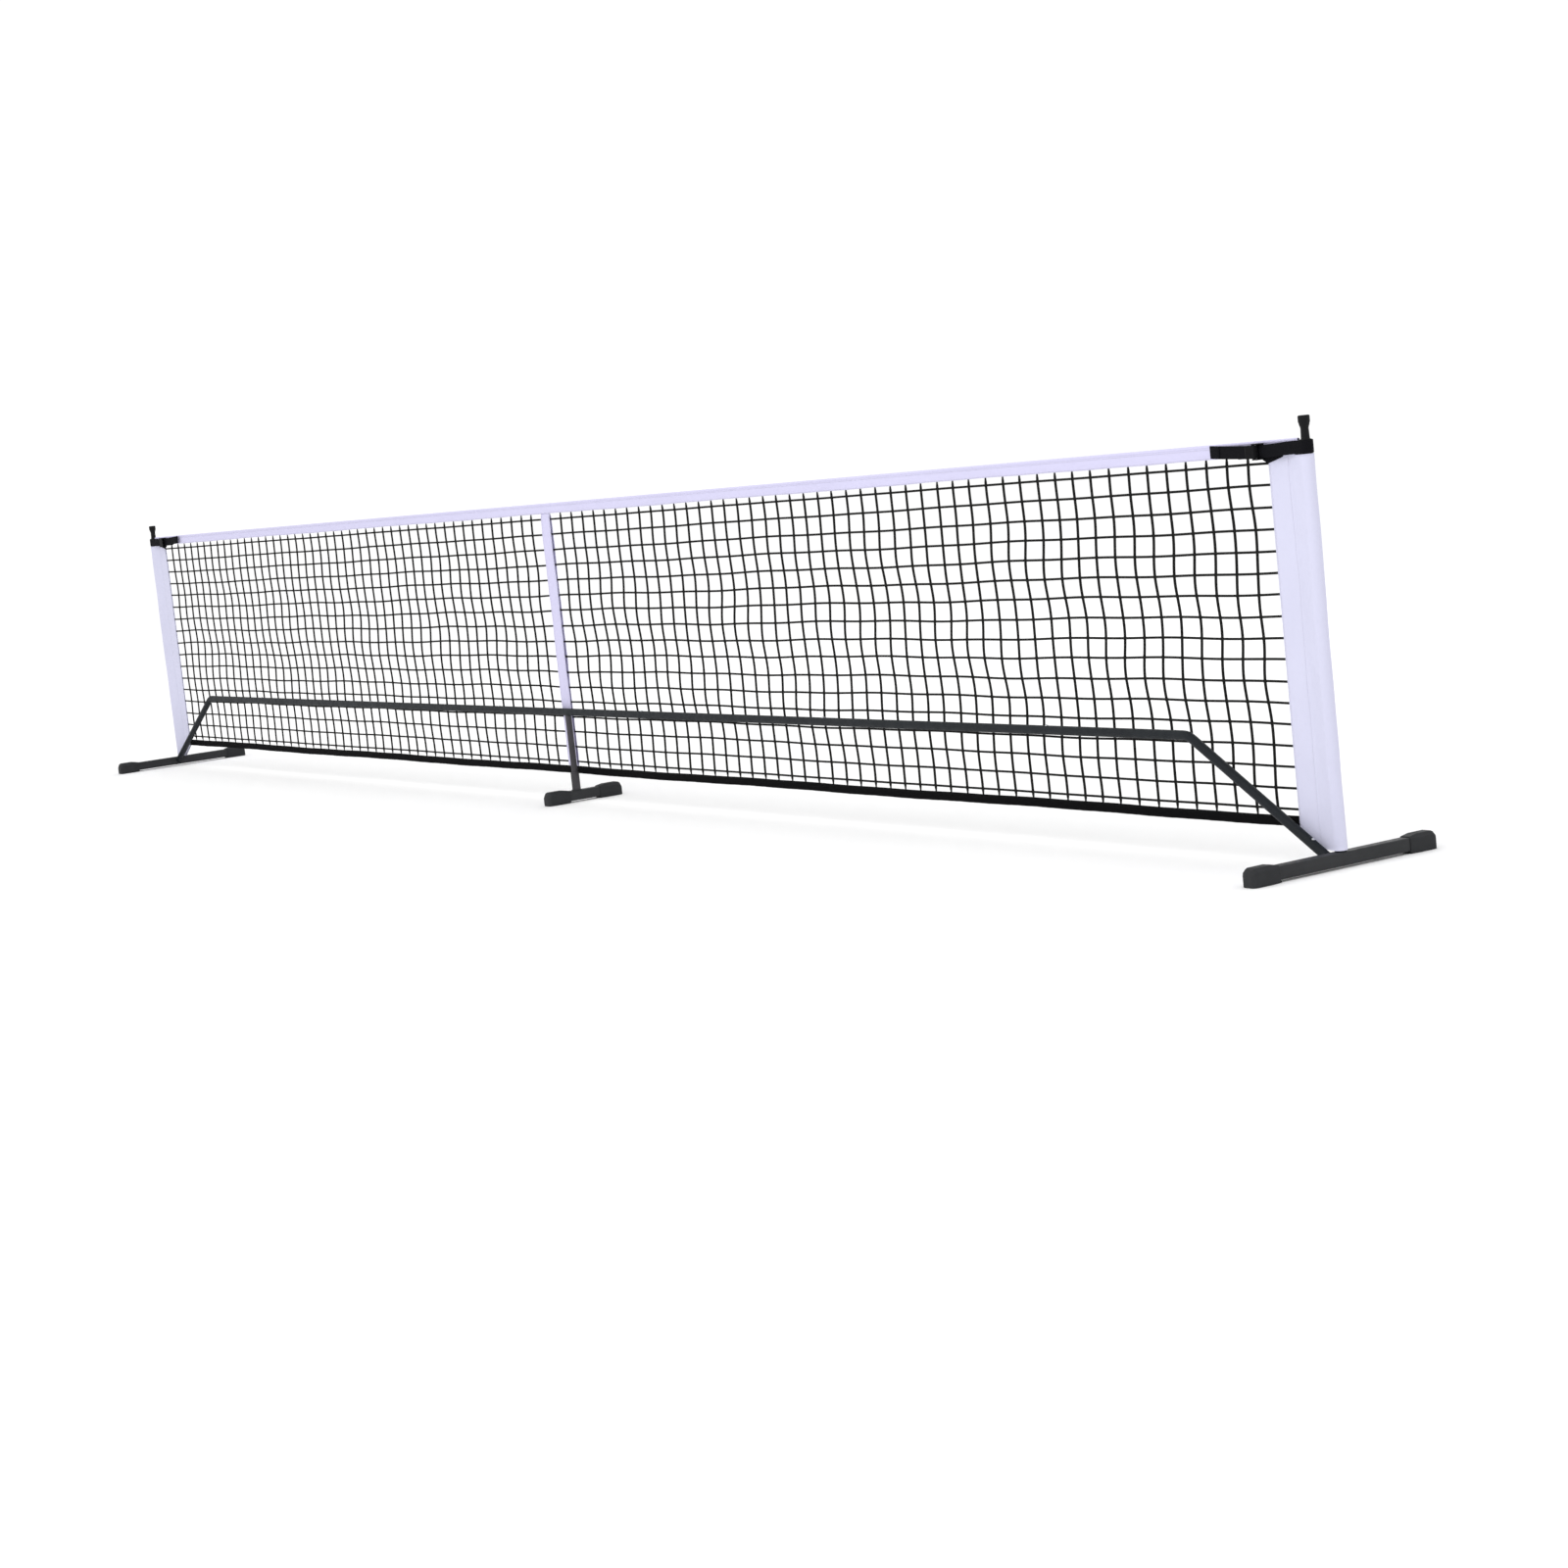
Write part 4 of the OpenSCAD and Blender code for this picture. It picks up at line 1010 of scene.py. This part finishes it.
def anchor_strap(side):
    """Short webbing sewn to the tape's face, up round the buckle's rear bar and back over itself."""
    sign = SIDES[side]
    under, over = -3.3 * MM, -4.9 * MM
    bar_x, bar_y, r = BUCKLE_X - 16 * MM, -10.1 * MM, 2.95 * MM
    angle = np.linspace(np.pi / 2, -np.pi / 2, 21)
    loop = np.stack([bar_x + r * np.cos(angle), bar_y + r * np.sin(angle)], -1)
    first = smooth_line([
        [ANCHOR_X, under], [ANCHOR_X + 20 * MM, under], [ANCHOR_X + 42 * MM, under],
        [bar_x - 9 * MM, under - 2.2 * MM], [bar_x, bar_y + r],
    ], 10)[:-1]
    second = smooth_line([
        [bar_x, bar_y - r], [bar_x - 9 * MM, bar_y - 0.6 * MM], [bar_x - 18 * MM, over - 0.8 * MM],
        [ANCHOR_X + 34 * MM, over], [ANCHOR_X + 6 * MM, over],
    ], 10)[1:]
    path = np.concatenate([first, loop, second])
    path[:, 0] += POST_X
    skins = mirrored([ribbon(path, STRAP_LOW, STRAP_HIGH)], sign)
    piece = make_piece("anchor_webbing_" + side, skins, WEBBING)
    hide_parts("anchor_strap_" + side)
    rows = box_stitch(POST_X + ANCHOR_X + 6 * MM, 30 * MM, over - WEB / 2, -1)
    thread = make_piece("anchor_stitching_" + side, mirrored(rows, sign), BLACK_THREAD)


def corner_patch(side):
    """A five-sided patch over the corner of the netting: lines from its top edge to its two lower edges,
    which meet in a point, and a row of stitches inside its rim."""
    sign = SIDES[side]
    lo, hi = low("corner_patch_right"), high("corner_patch_right")
    x = np.linspace(lo[0], hi[0], 41)
    floor_z = np.interp(x, [lo[0], SLEEVE_EDGE, hi[0]], [STRAP_LOW - 5 * MM, lo[2], STRAP_LOW - 1 * MM])
    height = hi[2] - floor_z
    gz = hi[2] - height[:, None] * np.linspace(0, 1, 19)
    gx = np.broadcast_to(x[:, None], gz.shape)
    on_tape = ease(gz, TAPE_LOW - 6 * MM, TAPE_LOW + 4 * MM)
    y = waves(gx, gz, PATCH_RIPPLE) - PATCH_STAND - 0.35 * MM * on_tape
    mid = np.stack([gx, y, gz], -1)
    out = np.broadcast_to([0.0, -1.0, 0.0], mid.shape)
    lift = np.zeros(gx.shape)
    skins = mirrored([cloth(mid, out, lift, PATCH_CLOTH)], sign)
    piece = make_piece("corner_patch_cloth_" + side, skins, WEBBING)
    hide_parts("corner_patch_" + side)
    on = thread_lines(mid, out, lift, PATCH_CLOTH)
    rows = [stitch_row(on[:, k], out[:, k], *PATCH_STITCH) for k in (2, 16)]
    rows += [stitch_row(on[k, 2:17], out[k, 2:17], *PATCH_STITCH) for k in (2, 38)]
    thread = make_piece("corner_patch_stitching_" + side, mirrored(rows, sign), BLACK_THREAD)


# ---------------------------------------------------------------- moulded parts

SHOE_LEN, SHOE_RAMP, SHOE_BEVEL, SOLE_BEVEL = 78 * MM, 22 * MM, 8 * MM, 1.5 * MM
SHOE_LIP, SHOE_FIT = 2 * MM, 0.15 * MM
# The cap's plug is this much smaller in radius than the post.
PLUG_INSET = 1.65 * MM
COLLAR_R, COLLAR_H = 13.5 * MM, 40 * MM
NECK_R, HEAD_R = 9.3 * MM, 12.8 * MM


def shoe(foot, end_sign, name):
    """A moulded shoe: a chamfered eight-sided section whose width and top run along the foot, up a ramp
    from the mouth and back in at the end, then in at the mouth to a square pocket for the tube."""
    lo, hi = low("foot_shoes_" + foot), high("foot_shoes_" + foot)
    centre_x, half_w, top, end = (lo[0] + hi[0]) / 2, (hi[0] - lo[0]) / 2, hi[2], hi[1]
    steel = "foot_tube_" + foot
    tube_half, tube_low, tube_high = half_width(steel), low(steel)[2], high(steel)[2]
    mouth = end - SHOE_LEN

    # Stations along the foot: place, half width, top, bottom, top chamfer, bottom chamfer.
    outside = [
        (mouth, tube_half + SHOE_LIP, tube_high + SHOE_LIP, 0.0, 4 * MM, SOLE_BEVEL),
        (mouth + SHOE_RAMP, half_w, top, 0.0, SHOE_BEVEL, SOLE_BEVEL),
        (end - 1.6 * SHOE_BEVEL, half_w, top, 0.0, SHOE_BEVEL, SOLE_BEVEL),
        (end - 6.5 * MM, half_w - 0.8 * MM, top - 3 * MM, 0.0, SHOE_BEVEL, SOLE_BEVEL),
        (end - 2 * MM, half_w - 0.6 * SHOE_BEVEL, top - SHOE_BEVEL, 0.0, SHOE_BEVEL, SOLE_BEVEL),
        (end, half_w - SHOE_BEVEL, top - 1.5 * SHOE_BEVEL, 3 * MM, 0.9 * SHOE_BEVEL, 1.0 * MM),
    ]
    pocket = (tube_half + SHOE_FIT, tube_high + SHOE_FIT, tube_low - SHOE_FIT, 3 * MM, 3 * MM)
    inside = [(end - 6 * MM, *pocket), (mouth, *pocket)]

    def ring(y, w, t, b, c, d):
        """The eight corners of one station, from the lower right one up and round."""
        xs = np.array([w, w, w - c, c - w, -w, -w, d - w, w - d])
        zs = np.array([b + d, t - c, t, t, t - c, b + d, b, b])
        return np.stack([centre_x + xs, np.full(8, y * end_sign), zs], -1)

    points = np.array([ring(*station) for station in inside + outside])
    piece = make_piece(name, [shell(points)], RUBBER, crease=20)
    round_edges(piece, 1.6 * MM, segments=3, angle=12)
    return piece


def post_cap(side):
    """A turned cap: plug, collar with a shallow groove, waisted peg and round-edged head with a dished
    end."""
    bottom, top = low("post_cap_right")[2], high("post_cap_right")[2]
    post_top = high("post_right")[2]
    plug_r, groove_r, axis_r = half_width("post_right") - PLUG_INSET, COLLAR_R - 0.5 * MM, 0.01 * MM
    collar_top = post_top + COLLAR_H
    peg_h = top - collar_top
    plug = [
        (axis_r, bottom), (plug_r - 2 * MM, bottom),
        (plug_r, bottom + 2 * MM), (plug_r, post_top - 0.05 * MM),
    ]
    collar = [
        (COLLAR_R - 0.6 * MM, post_top), (COLLAR_R, post_top + 0.6 * MM),
        (COLLAR_R, collar_top - 7 * MM), (groove_r, collar_top - 6.4 * MM),
        (groove_r, collar_top - 5.2 * MM), (COLLAR_R, collar_top - 4.6 * MM),
    ]
    waist = smooth_line([
        (NECK_R + 1.4 * MM, collar_top), (NECK_R + 0.3 * MM, collar_top + 1.6 * MM),
        (NECK_R - 0.2 * MM, collar_top + 0.25 * peg_h), (NECK_R - 0.4 * MM, collar_top + 0.46 * peg_h),
        (NECK_R + 1.4 * MM, collar_top + 0.58 * peg_h), (HEAD_R - 0.8 * MM, collar_top + 0.68 * peg_h),
        (HEAD_R, collar_top + 0.73 * peg_h),
    ], 7)
    dish = [(HEAD_R - 5.5 * MM, top), (HEAD_R - 6.5 * MM, top - 0.7 * MM), (axis_r, top - 0.9 * MM)]
    shoulder, crown = rounding(2.2 * MM, COLLAR_R, collar_top, 7), rounding(3 * MM, HEAD_R, top, 9)
    profile = np.concatenate([plug, collar, shoulder, waist, crown, dish])
    skin = turned(profile, (SIDES[side] * POST_X, 0.0))
    piece = make_piece("cap_moulding_" + side, [skin], CAP_PLASTIC, "post_" + side, crease=32)
    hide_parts("post_cap_" + side)


def buckle(side):
    """The buckle's frame, and its thumb lever with grip ribs across the tab that follow its slope."""
    lever = "cam_lever_" + side
    moulded_copy("buckle_frame_" + side, "buckle_frame_moulding_" + side, BUCKLE_PLASTIC,
                 ROOT, 0.45 * MM)
    moulded_copy(lever, "cam_lever_moulding_" + side, BUCKLE_PLASTIC, lever, 0.3 * MM)
    face = low("cam_lever_right")[1] + 0.15 * MM
    slope = 0.055
    half = (STRAP_HIGH - STRAP_LOW) / 2 - 3.5 * MM
    t = np.linspace(-1, 1, 9)
    size = 0.75 * MM * np.sqrt(1 - 0.96 * t ** 8)
    ribs = []
    for back in 9 * MM + 3 * MM * np.arange(6):
        path = np.stack([0 * t + PIN[0] - back, 0 * t + face + back * slope, STRAP_MID + half * t], -1)
        ribs.append(tube(path, np.tile([1.0, 0, 0], (len(t), 1)), size, 0.7 * size))
    ribs = mirrored(ribs, SIDES[side])
    make_piece("cam_lever_ribs_" + side, ribs, BUCKLE_PLASTIC, lever)


# ---------------------------------------------------------------- welds

def bead(path, out, radius):
    """A weld bead round a closed line: a tube whose radius swells with each stacked drop, by 0.2 of it
    times |sin|."""
    run = run_along(np.concatenate([path, path[:1]]))
    drops = max(12, int(run[-1] / (2.2 * MM)))
    phase = run[:-1] / run[-1] * drops
    swell = radius * (0.86 + 0.2 * np.abs(np.sin(np.pi * phase)))
    return tube(path, out, swell, swell, closed=True)


def welds():
    """Beads at the leg's socket, under the bar's tee and where each brace stub meets its foot."""
    a = circle(240)
    ring = np.stack([np.cos(a), np.sin(a), 0 * a], -1)
    foot = np.array([0, BAR[1], FOOT_TOP + 0.6 * MM]) + ring * (half_width("leg_socket") + 0.4 * MM)
    make_piece("leg_socket_weld", [bead(foot, ring, 1.9 * MM)], WELD)

    saddle = np.array([0, BAR[1], 0]) + ring * (half_width("tee_stub") + 0.2 * MM)
    saddle[:, 2] = BAR[2] - np.sqrt(np.maximum(0, (BAR_R + 0.3 * MM) ** 2 - (saddle[:, 1] - BAR[1]) ** 2))
    make_piece("bar_tee_weld", [bead(saddle, ring, 1.6 * MM)], WELD)

    stub_low, stub_high = low("brace_stub_right"), high("brace_stub_right")
    face_x = stub_high[0]
    slope = math.atan2(BAR[2] - BRACE_FOOT_Z, face_x - BEND_X)
    oval_r = 1.03 * (stub_high[1] - stub_low[1]) / 2
    oval = np.stack([
        0 * a + face_x - 0.4 * MM,
        BAR[1] + oval_r * np.cos(a),
        BRACE_FOOT_Z + oval_r / math.cos(slope) * np.sin(a),
    ], -1)
    out = np.stack([0 * a, np.cos(a), np.sin(a)], -1)
    for side, sign in SIDES.items():
        skins = mirrored([bead(oval, out, 1.7 * MM)], sign)
        make_piece("brace_stub_weld_" + side, skins, WELD)


# ---------------------------------------------------------------- put together

make_camera()
make_light()
make_floor()

paint(FOOT_COAT, "foot_tube_left", "foot_tube_right", "foot_tube_centre", "post_stub_left", "post_stub_right")
paint(BAR_COAT, "bar_centre", "bar_inner_left", "bar_inner_right", "bar_outer_left", "bar_outer_right",
      "brace_left", "brace_right", "brace_stub_left", "brace_stub_right", "post_left", "post_right")
paint(LEG_COAT, "centre_leg", "leg_socket", "tee_stub")
paint(ZINC, "cam_pin_left", "cam_pin_right", *[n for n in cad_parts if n.startswith("snap_button")])
paint(SPRING, "button_springs", "cam_springs")
paint(CORD, "top_cord", "bottom_cord")

netting("left", -SLEEVE_EDGE, CENTRE_LEFT)
netting("right", CENTRE_RIGHT, SLEEVE_EDGE)
top_tape()
bottom_tape()
centre_tape()
for end in SIDES:
    sleeve(end)
    strap(end)
    anchor_strap(end)
    corner_patch(end)
    post_cap(end)
    buckle(end)
for foot in ("left", "right", "centre"):
    for end_name, end_sign in (("front", -1), ("back", 1)):
        moulding = shoe(foot, end_sign, "shoe_%s_%s" % (foot, end_name))
        if end_sign < 0:
            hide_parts("foot_shoes_" + foot)
welds()
